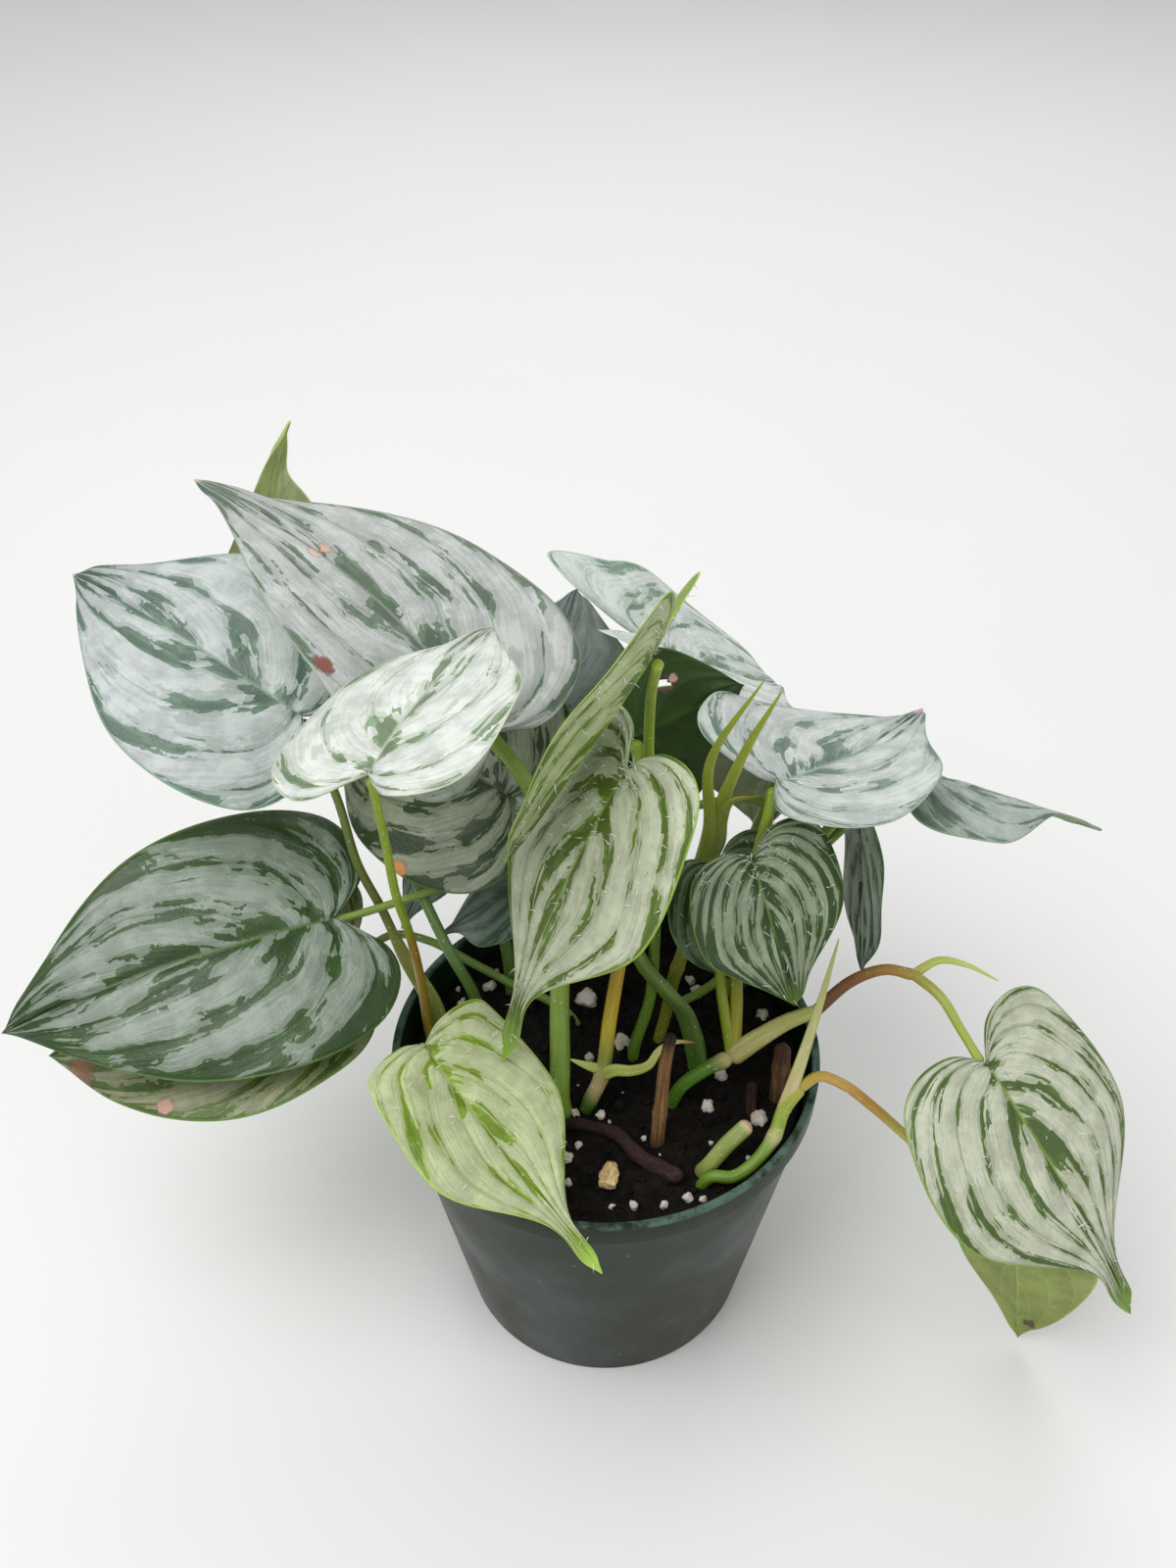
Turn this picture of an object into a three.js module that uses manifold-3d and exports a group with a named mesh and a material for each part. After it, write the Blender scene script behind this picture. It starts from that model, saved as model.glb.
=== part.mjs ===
// A potted philodendron brandtianum: a creeping aroid with heart-shaped leaves in a round nursery pot.
// Millimetres, +Z up. The origin is the middle of the pot's underside, and -Y is the front.
import * as THREE from "three";
import { mergeVertices } from "three/addons/utils/BufferGeometryUtils.js";
import Module from "manifold-3d";

const wasm = await Module();
wasm.setup();

// Driving dimensions
const POT = {
  height: 86,
  rimRadius: 52.5,
  footRadius: 37.5,
  wall: 1.5,
  floor: 2,
  lipHeight: 7,
  lipStep: 1.6,
  edge: 0.5,
  sides: 44,
  drains: 6,
  drainRadius: 4,
  drainRing: 27,
};
const SOIL = { level: 77, crown: 1.6, ripple: 0.8, rings: 6, sectors: 28, wallGap: 0.5, floorGap: 0.3 };
const HOLE_SLACK = 0.6;
const BLADE = { thickness: 0.8, columns: 6, rows: 12, stalkGap: 0.35 };
const STALK = { steps: 9, sides: 6 };
const ROOT_DEPTH = 12;
const RAD = Math.PI / 180;

// Colours and finish of the plain solids
const FINISH = {
  pot: { color: 0x1f3a33, roughness: 0.45, metalness: 0 },
  soil: { color: 0x1d1613, roughness: 1, metalness: 0 },
  oldLeaf: { color: 0x7f9a8b, roughness: 0.5, metalness: 0 },
  darkLeaf: { color: 0x4f7350, roughness: 0.5, metalness: 0 },
  youngLeaf: { color: 0x8fae6a, roughness: 0.5, metalness: 0 },
  stem: { color: 0x6f9a35, roughness: 0.5, metalness: 0 },
  wood: { color: 0x4a3026, roughness: 0.9, metalness: 0 },
  dry: { color: 0x8a6a48, roughness: 0.9, metalness: 0 },
  bark: { color: 0xd8b978, roughness: 0.9, metalness: 0 },
};

// The outline of half a heart-shaped leaf, from the notch to the tip: half width as a share of the
// widest, place along the midrib as a share of the length, and where its side vein leaves the midrib.
const OUTLINE = [
  [0, 0, 0],
  [0.1, -0.055, 0.004],
  [0.3, -0.125, 0.016],
  [0.56, -0.135, 0.036],
  [0.8, -0.07, 0.07],
  [0.95, 0.06, 0.12],
  [1, 0.2, 0.19],
  [0.955, 0.36, 0.29],
  [0.82, 0.53, 0.42],
  [0.6, 0.69, 0.57],
  [0.36, 0.82, 0.72],
  [0.17, 0.91, 0.85],
  [0.055, 0.965, 0.94],
  [0, 1, 1],
];
const DRIP_FROM = 0.55;

// Each leaf: at is the notch where the stalk ends; heading, pitch and roll turn the midrib and the
// blade, in degrees; bend arches the midrib, fold and cup shape each half, lobe lengthens the two
// lobes, sway curves the midrib sideways, twist turns the tip, and drip draws it out to a point.
const LEAVES = [
  { name: "leaf_far_left_young", tone: "youngLeaf", at: [-86, 106, 133], heading: -48, pitch: 78,
    roll: 19, length: 75, width: 49, bend: 30, fold: 8, cup: -9, lobe: 1,
    sway: 0.04, twist: -1, drip: 0.55 },
  { name: "leaf_upper_left", tone: "oldLeaf", at: [-25, 22, 167], heading: 147, pitch: 25, roll: 6,
    length: 91, width: 76, bend: 20, fold: -2, cup: 19, lobe: 0.5, sway: 0.05, twist: -7, drip: 0.24 },
  { name: "leaf_left", tone: "oldLeaf", at: [-72, 43, 155], heading: 146, pitch: 10, roll: -18,
    length: 77, width: 66, bend: 32, fold: 4, cup: -6, lobe: 0.96, sway: -0.01, twist: -2, drip: 0.16 },
  { name: "leaf_silver_middle", tone: "oldLeaf", at: [-45.5, -25.5, 194.5], heading: 69, pitch: -5,
    roll: -16, length: 60, width: 48, bend: 27, fold: 6, cup: -11, lobe: 0.83,
    sway: 0.02, twist: 1, drip: 0.3 },
  { name: "leaf_under_silver", tone: "oldLeaf", at: [-22.5, 30.5, 140], heading: 136, pitch: -11,
    roll: -35, length: 73, width: 61, bend: 19, fold: 9, cup: -5, lobe: 1.06,
    sway: 0.03, twist: -1, drip: 0.23 },
  { name: "leaf_lower_left", tone: "darkLeaf", at: [-66, 17, 113], heading: -162, pitch: -9, roll: -24,
    length: 83, width: 67, bend: 37, fold: 5, cup: -12, lobe: 1, sway: 0, twist: 11, drip: 0 },
  { name: "leaf_lower_left_under", tone: "darkLeaf", at: [-69, 13, 98], heading: -175, pitch: -18,
    roll: -19, length: 77, width: 64, bend: 31, fold: 9, cup: -3, lobe: 1.04,
    sway: -0.04, twist: 0, drip: 0 },
  { name: "leaf_front_lime", tone: "youngLeaf", at: [-40.5, -24.5, 115], heading: -43, pitch: -32,
    roll: -16, length: 63, width: 45, bend: 8, fold: 6, cup: -4, lobe: 0.32,
    sway: 0.02, twist: -8, drip: 0.72 },
  { name: "leaf_folded", tone: "youngLeaf", at: [8.5, 1.5, 201.5], heading: -176, pitch: -60,
    roll: 32, length: 62, width: 33, bend: -6, fold: 17, cup: -5, lobe: 1.94, sway: -0.03,
    twist: -5, drip: 0.07 },
  { name: "leaf_front_hairy", tone: "youngLeaf", at: [4, 0, 174], heading: -140, pitch: -62, roll: 14,
    length: 76, width: 54, bend: 19, fold: 0, cup: -18, lobe: 0.87, sway: 0.01, twist: 14, drip: 0.79 },
  { name: "leaf_small_heart", tone: "darkLeaf", at: [33, 9, 140], heading: -48, pitch: -64, roll: 9,
    length: 40, width: 41, bend: 24, fold: 8, cup: -4, lobe: 0.8, sway: 0.02, twist: -12, drip: 0.26 },
  { name: "leaf_behind_heart", tone: "darkLeaf", at: [27, 20, 126], heading: -54, pitch: -69, roll: 0,
    length: 34, width: 38, bend: 32, fold: 9, cup: -3, lobe: 1.22, sway: 0, twist: 0, drip: 0.29 },
  { name: "leaf_right", tone: "oldLeaf", at: [39.5, 25, 149], heading: 44, pitch: -10, roll: 7,
    length: 60, width: 59, bend: -10, fold: 8, cup: 10, lobe: 1.13, sway: 0.03, twist: 31, drip: 0.29 },
  { name: "leaf_far_right", tone: "oldLeaf", at: [77.5, 39.5, 138.5], heading: -6, pitch: -17, roll: -24,
    length: 47.5, width: 40, bend: 5, fold: 4, cup: -66, lobe: 1, sway: 0.01, twist: 14, drip: 0.9 },
  { name: "leaf_hanging_dark", tone: "darkLeaf", at: [61, 25, 138], heading: -77, pitch: -73, roll: 97,
    length: 43, width: 34, bend: 2, fold: 6, cup: -11, lobe: 1.04, sway: -0.02, twist: 7, drip: 0 },
  { name: "leaf_top", tone: "oldLeaf", at: [11.5, 79.5, 150.5], heading: 48, pitch: -38, roll: 20,
    length: 77, width: 57, bend: 10, fold: 15, cup: -2, lobe: 2.25, sway: 0.08, twist: 3,
    drip: 0.22 },
  { name: "leaf_holed", tone: "darkLeaf", at: [7, 46.5, 145.5], heading: 24, pitch: 12, roll: -102,
    length: 31, width: 46, bend: 8, fold: 0, cup: -12, lobe: 1, sway: -0.02, twist: 0, drip: 0.12 },
  { name: "leaf_right_front", tone: "youngLeaf", at: [88, -17, 99], heading: -41, pitch: -48, roll: 7,
    length: 74, width: 63, bend: 30, fold: 2, cup: -14, lobe: 0.8, sway: 0.02, twist: -1, drip: 0.73 },
  { name: "leaf_right_front_under", tone: "youngLeaf", at: [98, -33.5, 58], heading: 15, pitch: -78,
    roll: -40, length: 57, width: 40, bend: 10, fold: 8, cup: 5, lobe: 1, sway: 0, twist: 0, drip: 0 },
  { name: "leaf_grey_behind", tone: "oldLeaf", at: [-15.5, 57.5, 141], heading: 81, pitch: 4,
    roll: 2, length: 56, width: 43, bend: 14, fold: 6, cup: -6, lobe: 1, sway: 0, twist: 0,
    drip: 0.2 },
  { name: "leaf_under_middle", tone: "darkLeaf", at: [-17.5, 21, 121], heading: 163, pitch: -46,
    roll: -20, length: 38, width: 27, bend: 12, fold: 6, cup: -8, lobe: 0.5, sway: 0, twist: 0,
    drip: 0.7 },
  { name: "leaf_back_left", tone: "oldLeaf", at: [-38, 44.5, 112.5], heading: -131, pitch: -36,
    roll: 0, length: 26, width: 17, bend: 26, fold: 6, cup: -8, lobe: 0.8, sway: 0.02, twist: 5,
    drip: 0.3 },
  { name: "leaf_back_middle", tone: "darkLeaf", at: [-13, 61, 110], heading: 100, pitch: -28, roll: -10,
    length: 58, width: 48, bend: 24, fold: 5, cup: -8, lobe: 1, sway: -0.02, twist: -4, drip: 0.3 },
  { name: "leaf_back_right", tone: "oldLeaf", at: [46, 56, 134], heading: 94, pitch: -64, roll: 4,
    length: 56, width: 50, bend: 20, fold: 6, cup: -8, lobe: 0.5, sway: 0.03, twist: 6, drip: 0.3 },
];

// Each stem roots at one place in the soil. A shoot runs from there, or from its own first point
// where it branches off another, through its points; radius is at its foot and at its end. A shoot
// with a leaf ends under that leaf's notch.
const STEMS = [
  { name: "stem_left", root: [-42, 8], shoots: [
    { leaf: "leaf_silver_middle", radius: [1.6, 1.1],
      points: [[-44, 7, 82], [-45, 8, 102], [-46, 5, 120], [-47, -1, 138], [-47, -7, 160]] },
    { leaf: "leaf_left", radius: [2.3, 1.1],
      points: [[-43, 12, 86], [-50, 19, 97], [-55, 23, 110], [-60, 25, 124], [-64, 31, 140]] },
    { leaf: "leaf_lower_left", radius: [1.4, 1.1],
      points: [[-45, 12, 80], [-48, 19, 96], [-50, 22, 105], [-54, 22, 110]] },
    { leaf: "leaf_front_lime", radius: [1.4, 1.1],
      points: [[-38, -5, 77], [-36, -8, 86], [-38, -10, 94]] },
  ] },
  { name: "stem_low_left", root: [-3, 9], shoots: [
    { leaf: "leaf_lower_left_under", radius: [1.2, 1],
      points: [[-9, 14, 81], [-25, 21, 86], [-34, 23, 91], [-45, 26, 96], [-54, 27, 97],
               [-63, 21, 95]] },
  ] },
  { name: "stem_far_left", root: [-31, 14], shoots: [
    { leaf: "leaf_far_left_young", radius: [1.5, 1],
      points: [[-32, 14, 84], [-34, 13, 94], [-38, 14, 104], [-45, 25, 113], [-57, 52, 118],
               [-72, 80, 121]] },
  ] },
  { name: "stem_under_silver", root: [-24, 24], shoots: [
    { leaf: "leaf_under_silver", radius: [1.4, 1.1],
      points: [[-25, 28, 88], [-29, 38, 106], [-28, 39, 126]] },
  ] },
  { name: "stem_middle", root: [-7, -12], shoots: [
    { leaf: "leaf_upper_left", radius: [2.7, 1.7],
      points: [[-11, -14, 80], [-11, -9, 91], [-11, 0, 104], [-10, 14, 122], [-16, 25, 142],
               [-20, 24, 154]] },
    { leaf: "leaf_front_hairy", radius: [2, 1.1],
      points: [[-4, -13, 80], [-1, -11, 88], [1, -5, 102], [5, 6, 124], [8, 15, 146],
               [7, 15, 158]] },
    { branch: true, radius: [1.5, 0.6],
      points: [[-1, -12, 89], [2, -13, 92], [6, -14, 93], [10, -14, 95], [12.5, -12, 98],
               [16, -10.5, 99], [21, -10.5, 99]] },
    { branch: true, radius: [1.2, 0.5], points: [[-1.5, -11, 90], [-5, -10.5, 91], [-8.6, -9.6, 92]] },
  ] },
  { name: "stem_centre", root: [10, 5], shoots: [
    { leaf: "leaf_folded", radius: [1.5, 1.1],
      points: [[7, 2, 80], [11, 7, 95], [12, 13, 110], [12, 21, 132], [10, 24, 156],
               [9.7, 20, 176]] },
    { radius: [1.3, 1.9],
      points: [[15, 10, 84], [17, 13, 95], [20, 16, 106], [23, 23, 118], [23.5, 27, 123]] },
    { leaf: "leaf_holed", radius: [2.3, 1.4],
      points: [[22, -1, 78], [20, 5, 90], [15, 6, 98], [9, 9, 105], [6, 14, 112], [6, 22, 120],
               [9, 34, 132]] },
    { leaf: "leaf_behind_heart", branch: true, radius: [1.2, 1],
      points: [[23, 26, 118], [25, 25, 122]] },
    { branch: true, radius: [1.8, 0.5],
      points: [[23, 26, 119], [25, 26, 134], [24, 24, 156], [34, 20, 182]] },
    { branch: true, radius: [2, 0.5],
      points: [[24, 27, 119], [26, 27, 134], [31, 24, 157], [38, 18, 181]] },
    { branch: true, radius: [1.6, 0.5],
      points: [[24, 27, 120], [27.5, 27.5, 128], [28, 26, 137], [29.5, 23, 145], [35.5, 19, 150]] },
  ] },
  { name: "stem_front_right", root: [13, -12], shoots: [
    { radius: [1.4, 1.8],
      points: [[16, -13, 80], [18, -12.5, 85], [23, -11, 89], [30, -9.5, 92.5]] },
    { branch: true, radius: [2.2, 1.5],
      points: [[29, -9.5, 92], [36, -7, 96], [43, -3.6, 98], [51.5, -0.4, 99]] },
    { branch: true, radius: [1.5, 1.3],
      points: [[50, -1, 98.5], [59, 4, 104], [67, 5, 107], [74, 3, 107]] },
    { leaf: "leaf_right_front", branch: true, radius: [1.3, 1],
      points: [[73, 4, 107], [79, -3, 106], [83, -9, 102]] },
    { branch: true, radius: [0.9, 0.5],
      points: [[73, 3, 107], [80, 6, 109], [87, 5, 108], [94, 3, 105]] },
    { leaf: "leaf_small_heart", branch: true, radius: [1.4, 1],
      points: [[30, -9, 92], [27, 1, 110], [27, 7, 124], [29, 10, 133]] },
    { leaf: "leaf_right", branch: true, radius: [1.7, 1.2],
      points: [[30.5, -8.5, 92.5], [31, -2, 102], [31, 8, 118], [35, 15, 134], [37, 18, 142]] },
  ] },
  { name: "stem_front_rim", root: [20, -33], shoots: [
    { radius: [1.4, 1.7],
      points: [[24, -35, 80.5], [29, -35.4, 81], [34, -33, 83], [38.6, -28.8, 87.3],
               [41, -24.5, 92], [45, -21.5, 96.5]] },
    { leaf: "leaf_right_front_under", branch: true, radius: [1.3, 1],
      points: [[44.5, -22, 96], [49, -20, 98], [55, -21, 96], [62, -23.5, 91], [72, -28, 83],
               [80, -32, 77], [90, -35, 67]] },
    { branch: true, radius: [1.6, 0.5],
      points: [[40.5, -25.5, 91], [44, -20, 100], [48.7, -11.3, 112], [53, -3, 126]] },
  ] },
  { name: "stem_back_right", root: [30, 22], shoots: [
    { leaf: "leaf_far_right", radius: [1.4, 1.1],
      points: [[32, 24, 84], [44, 35, 103], [59, 45, 119], [70, 45, 131]] },
    { leaf: "leaf_hanging_dark", radius: [1.3, 1],
      points: [[32, 24, 84], [45, 37, 101], [63, 47, 117], [71, 40, 133], [67, 30, 141]] },
    { leaf: "leaf_back_right", radius: [1.3, 1],
      points: [[31, 25, 84], [36, 38, 102], [41, 48, 122]] },
  ] },
  { name: "stem_back", root: [4, 30], shoots: [
    { leaf: "leaf_top", radius: [1.6, 1.1],
      points: [[4, 34, 86], [3, 48, 106], [6, 64, 126], [9, 73, 142]] },
    { leaf: "leaf_grey_behind", radius: [1.3, 1],
      points: [[1, 34, 84], [-5, 43, 104], [-12, 51, 126]] },
    { leaf: "leaf_back_middle", radius: [1.3, 1],
      points: [[2, 33, 84], [-4, 42, 94], [-10, 54, 103]] },
  ] },
  { name: "stem_back_left", root: [-19, 34], shoots: [
    { leaf: "leaf_under_middle", radius: [1.2, 0.9],
      points: [[-20, 34, 84], [-20, 32, 98], [-19, 27, 112]] },
    { leaf: "leaf_back_left", radius: [1.3, 1],
      points: [[-22, 36, 84], [-28, 41, 97], [-34, 43.5, 107]] },
  ] },
];

// Woody and dry bits on and in the soil: each a tube through its points
const BITS = [
  { name: "rhizome", tone: "wood", radius: [1, 2],
    points: [[-10, -18, 66], [-9, -18, 78], [-3.6, -20.5, 80.3], [2.4, -22.7, 80.3],
             [8, -28.9, 79.6], [17.5, -34.2, 78.6]] },
  { name: "stub_cut_green", tone: "stem", radius: [1.8, 2],
    points: [[19, -27, 68], [23.5, -31, 79], [27.5, -29, 84], [33.2, -26.2, 89]] },
  { name: "stub_dry_tall", tone: "dry", radius: [1.8, 1.4],
    points: [[12, -22, 67], [12.2, -22, 80], [12.9, -19.4, 90], [13.6, -17.4, 100], [15, -14.5, 107]] },
  { name: "stub_dry_right", tone: "dry", radius: [2.4, 2],
    points: [[42, -10, 68], [42.2, -9, 80], [42.4, -7.3, 88], [42.4, -6.8, 93.5]] },
  { name: "stub_dry_short", tone: "dry", radius: [1.5, 1.2],
    points: [[35, -15, 68], [35, -14, 78], [35, -12, 86]] },
];
const CHIP = { name: "bark_chip", at: [0.5, -33.6, 79.2], size: [4.4, 7.4, 1.8], turn: -10 };

// One span of a Catmull-Rom curve through the outline's rows
function outlineAt(t) {
  const last = OUTLINE.length - 1;
  const place = THREE.MathUtils.clamp(t, 0, 1) * last;
  const i = Math.min(Math.floor(place), last - 1);
  const u = place - i;
  const p0 = OUTLINE[Math.max(i - 1, 0)];
  const p1 = OUTLINE[i];
  const p2 = OUTLINE[i + 1];
  const p3 = OUTLINE[Math.min(i + 2, last)];
  const mix = (k) =>
    0.5 *
    (2 * p1[k] +
      (p2[k] - p0[k]) * u +
      (2 * p0[k] - 5 * p1[k] + 4 * p2[k] - p3[k]) * u * u +
      (3 * p1[k] - p0[k] - 3 * p2[k] + p3[k]) * u ** 3);
  return [mix(0), mix(1), mix(2)];
}

// The three directions of a leaf: across, along the midrib, and out of its upper face
function leafAxes(leaf) {
  const [h, p, r] = [leaf.heading * RAD, leaf.pitch * RAD, leaf.roll * RAD];
  const along = new THREE.Vector3(Math.cos(h) * Math.cos(p), Math.sin(h) * Math.cos(p), Math.sin(p));
  const up = new THREE.Vector3(-Math.cos(h) * Math.sin(p), -Math.sin(h) * Math.sin(p), Math.cos(p));
  const side = along.clone().cross(up);
  const face = up.multiplyScalar(Math.cos(r)).addScaledVector(side, Math.sin(r));
  return { across: along.clone().cross(face), along, face };
}

const nonZero = (value) => (Math.abs(value) > 1e-6 ? value : 1e-6);

// A point of the blade: share runs from the midrib (0) to either margin (-1, 1), t from the notch to
// the tip, and lift is the height over the middle of the blade's thickness.
function bladePoint(leaf, axes, share, t, lift) {
  const [x, y, rib] = outlineAt(t);
  const dripAt = THREE.MathUtils.clamp((t - DRIP_FROM) / (1 - DRIP_FROM), 0, 1);
  const half = (leaf.width / 2) * x * (1 - leaf.drip * Math.sin(Math.PI * dripAt) ** 2);
  const lobed = y < 0 ? y * leaf.lobe : y;
  const m = Math.abs(share);
  const q = m * lobed + (1 - m) * rib;
  const bend = nonZero(leaf.bend * RAD);
  const turn = bend * (0.5 - q);
  const radius = leaf.length / bend;
  const forward = radius * (Math.sin(bend / 2) - Math.sin(turn));
  const rise = radius * (Math.cos(turn) - Math.cos(bend / 2));
  const fold = leaf.fold * RAD;
  const curl = nonZero((leaf.cup * RAD) / (leaf.width / 2));
  const out = m * half;
  const flatAcross = (Math.sign(share) * (Math.sin(fold + curl * out) - Math.sin(fold))) / curl;
  const flatOver = (Math.cos(fold) - Math.cos(fold + curl * out)) / curl;
  const twist = leaf.twist * RAD * q;
  const across =
    flatAcross * Math.cos(twist) - flatOver * Math.sin(twist) + leaf.sway * leaf.length * 4 * q * (1 - q);
  const over = flatAcross * Math.sin(twist) + flatOver * Math.cos(twist) + lift;
  return new THREE.Vector3(...leaf.at)
    .addScaledVector(axes.across, across)
    .addScaledVector(axes.along, forward - over * Math.sin(turn))
    .addScaledVector(axes.face, rise + over * Math.cos(turn));
}

// A closed blade: an upper and a lower sheet split alike, joined round the margin
function bladeGeometry(leaf) {
  const { columns, rows, thickness } = BLADE;
  const axes = leafAxes(leaf);
  const positions = [];
  const addSheet = (lift) => {
    const first = positions.length / 3;
    positions.push(...bladePoint(leaf, axes, 0, 0, lift).toArray());
    for (let j = 1; j < rows; j++) {
      for (let i = 0; i <= columns; i++) {
        positions.push(...bladePoint(leaf, axes, (2 * i) / columns - 1, j / rows, lift).toArray());
      }
    }
    positions.push(...bladePoint(leaf, axes, 0, 1, lift).toArray());
    return first;
  };
  const upper = addSheet(thickness / 2);
  const lower = addSheet(-thickness / 2);
  const tip = 1 + (rows - 1) * (columns + 1);
  const at = (j, i) => 1 + (j - 1) * (columns + 1) + i;
  const index = [];
  const addFace = (a, b, c) => {
    index.push(upper + a, upper + b, upper + c);
    index.push(lower + a, lower + c, lower + b);
  };
  for (let i = 0; i < columns; i++) {
    addFace(0, at(1, i + 1), at(1, i));
    for (let j = 1; j < rows - 1; j++) {
      addFace(at(j, i), at(j, i + 1), at(j + 1, i));
      addFace(at(j, i + 1), at(j + 1, i + 1), at(j + 1, i));
    }
    addFace(at(rows - 1, i), at(rows - 1, i + 1), tip);
  }
  const margin = [0];
  for (let j = 1; j < rows; j++) margin.push(at(j, columns));
  margin.push(tip);
  for (let j = rows - 1; j > 0; j--) margin.push(at(j, 0));
  margin.forEach((a, k) => {
    const b = margin[(k + 1) % margin.length];
    index.push(upper + a, lower + a, upper + b);
    index.push(upper + b, lower + a, lower + b);
  });
  return indexedGeometry(positions, index);
}

function indexedGeometry(positions, index) {
  const geometry = new THREE.BufferGeometry();
  geometry.setAttribute("position", new THREE.Float32BufferAttribute(positions, 3));
  geometry.setIndex(index);
  return geometry;
}

// A tube along a smooth curve, its radius running evenly from foot to end, with extra all round
function tubeGeometry(points, radius, extra = 0) {
  const { sides, steps } = STALK;
  const curve = new THREE.CatmullRomCurve3(points, false, "centripetal");
  const frames = curve.computeFrenetFrames(steps, false);
  const positions = [];
  for (let k = 0; k <= steps; k++) {
    const middle = curve.getPointAt(k / steps);
    const r = THREE.MathUtils.lerp(radius[0], radius[1], k / steps) + extra;
    if (k === 0) middle.addScaledVector(frames.tangents[k], -extra);
    if (k === steps) middle.addScaledVector(frames.tangents[k], extra);
    for (let i = 0; i < sides; i++) {
      const angle = (2 * Math.PI * i) / sides;
      const rim = middle.clone();
      rim.addScaledVector(frames.normals[k], r * Math.cos(angle));
      rim.addScaledVector(frames.binormals[k], r * Math.sin(angle));
      positions.push(...rim.toArray());
    }
  }
  const index = [];
  for (let k = 0; k < steps; k++) {
    for (let i = 0; i < sides; i++) {
      const a = k * sides + i;
      const b = k * sides + ((i + 1) % sides);
      index.push(a, b, a + sides, b, b + sides, a + sides);
    }
  }
  const top = steps * sides;
  for (let i = 1; i < sides - 1; i++) {
    index.push(0, i + 1, i, top, top + i, top + i + 1);
  }
  return indexedGeometry(positions, index);
}

function solidOf(geometry) {
  const bare = geometry.clone();
  bare.deleteAttribute("normal");
  bare.deleteAttribute("uv");
  const merged = mergeVertices(bare, 1e-4);
  const vertProperties = new Float32Array(merged.getAttribute("position").array);
  const triVerts = new Uint32Array(merged.getIndex().array);
  return new wasm.Manifold(new wasm.Mesh({ numProp: 3, vertProperties, triVerts }));
}

function geometryOf(solid) {
  const { vertProperties, triVerts } = solid.getMesh();
  return indexedGeometry(Array.from(vertProperties), Array.from(triVerts));
}

const unite = (solids) => solids.reduce((whole, solid) => whole.add(solid));
const vectors = (points) => points.map((point) => new THREE.Vector3(...point));

// Where a stalk of this radius stops under the notch of its leaf, coming from the given point
function stalkEnd(leaf, from, radius) {
  const { along, face } = leafAxes(leaf);
  const tilt = (leaf.bend * RAD) / 2;
  const normal = face.clone().multiplyScalar(Math.cos(tilt)).addScaledVector(along, -Math.sin(tilt));
  const notch = new THREE.Vector3(...leaf.at);
  const aim = notch.clone().sub(from).normalize();
  const reach = radius * Math.sqrt(1 - aim.dot(normal) ** 2);
  return notch.addScaledVector(normal, -(BLADE.thickness / 2 + BLADE.stalkGap + reach));
}

function shootPath(stem, shoot) {
  const path = vectors(shoot.points);
  if (!shoot.branch) path.unshift(new THREE.Vector3(...stem.root, SOIL.level - ROOT_DEPTH));
  if (shoot.leaf) {
    const leaf = LEAVES.find(({ name }) => name === shoot.leaf);
    path.push(stalkEnd(leaf, path[path.length - 1], shoot.radius[1]));
  }
  return path;
}

const stemSolid = (stem, extra) =>
  unite(stem.shoots.map((shoot) => solidOf(tubeGeometry(shootPath(stem, shoot), shoot.radius, extra))));
const bitSolid = (bit, extra) => solidOf(tubeGeometry(vectors(bit.points), bit.radius, extra));

// The pot's outer radius at a height below its lip
const potRadius = (z) =>
  POT.footRadius + ((POT.rimRadius - POT.lipStep - POT.footRadius) * z) / (POT.height - POT.lipHeight);

function potGeometry() {
  const { height, rimRadius, wall, floor, lipHeight, edge, sides, drains, drainRadius, drainRing } = POT;
  const lipFoot = height - lipHeight;
  const innerTop = potRadius(height) - wall;
  const profile = [
    [0, 0],
    [POT.footRadius - edge, 0],
    [potRadius(edge), edge],
    [potRadius(lipFoot), lipFoot],
    [rimRadius - edge, lipFoot + edge],
    [rimRadius, height - edge],
    [rimRadius - edge, height],
    [innerTop, height],
    [potRadius(floor) - wall, floor],
    [0, floor],
  ];
  const shell = new THREE.LatheGeometry(
    profile.map(([r, z]) => new THREE.Vector2(r, z)),
    sides,
  ).rotateX(Math.PI / 2);
  let solid = solidOf(shell);
  for (let k = 0; k < drains; k++) {
    const angle = (2 * Math.PI * (k + 0.5)) / drains;
    const drill = new THREE.CylinderGeometry(drainRadius, drainRadius, 4 * floor, 16).rotateX(Math.PI / 2);
    drill.translate(drainRing * Math.cos(angle), drainRing * Math.sin(angle), 0);
    solid = solid.subtract(solidOf(drill));
  }
  return geometryOf(solid);
}

// Height of the crumbly top of the soil at a place
function soilHeight(x, y, r) {
  const swell = Math.cos((Math.PI / 2) * Math.min(r / potRadius(SOIL.level), 1));
  const waves = Math.sin(x * 0.31 + 1.3) * Math.cos(y * 0.27 - 0.4) + 0.6 * Math.sin(x * 0.13 - y * 0.41);
  return SOIL.level + SOIL.crown * swell + SOIL.ripple * waves * Math.min(1, 2 * swell);
}

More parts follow.
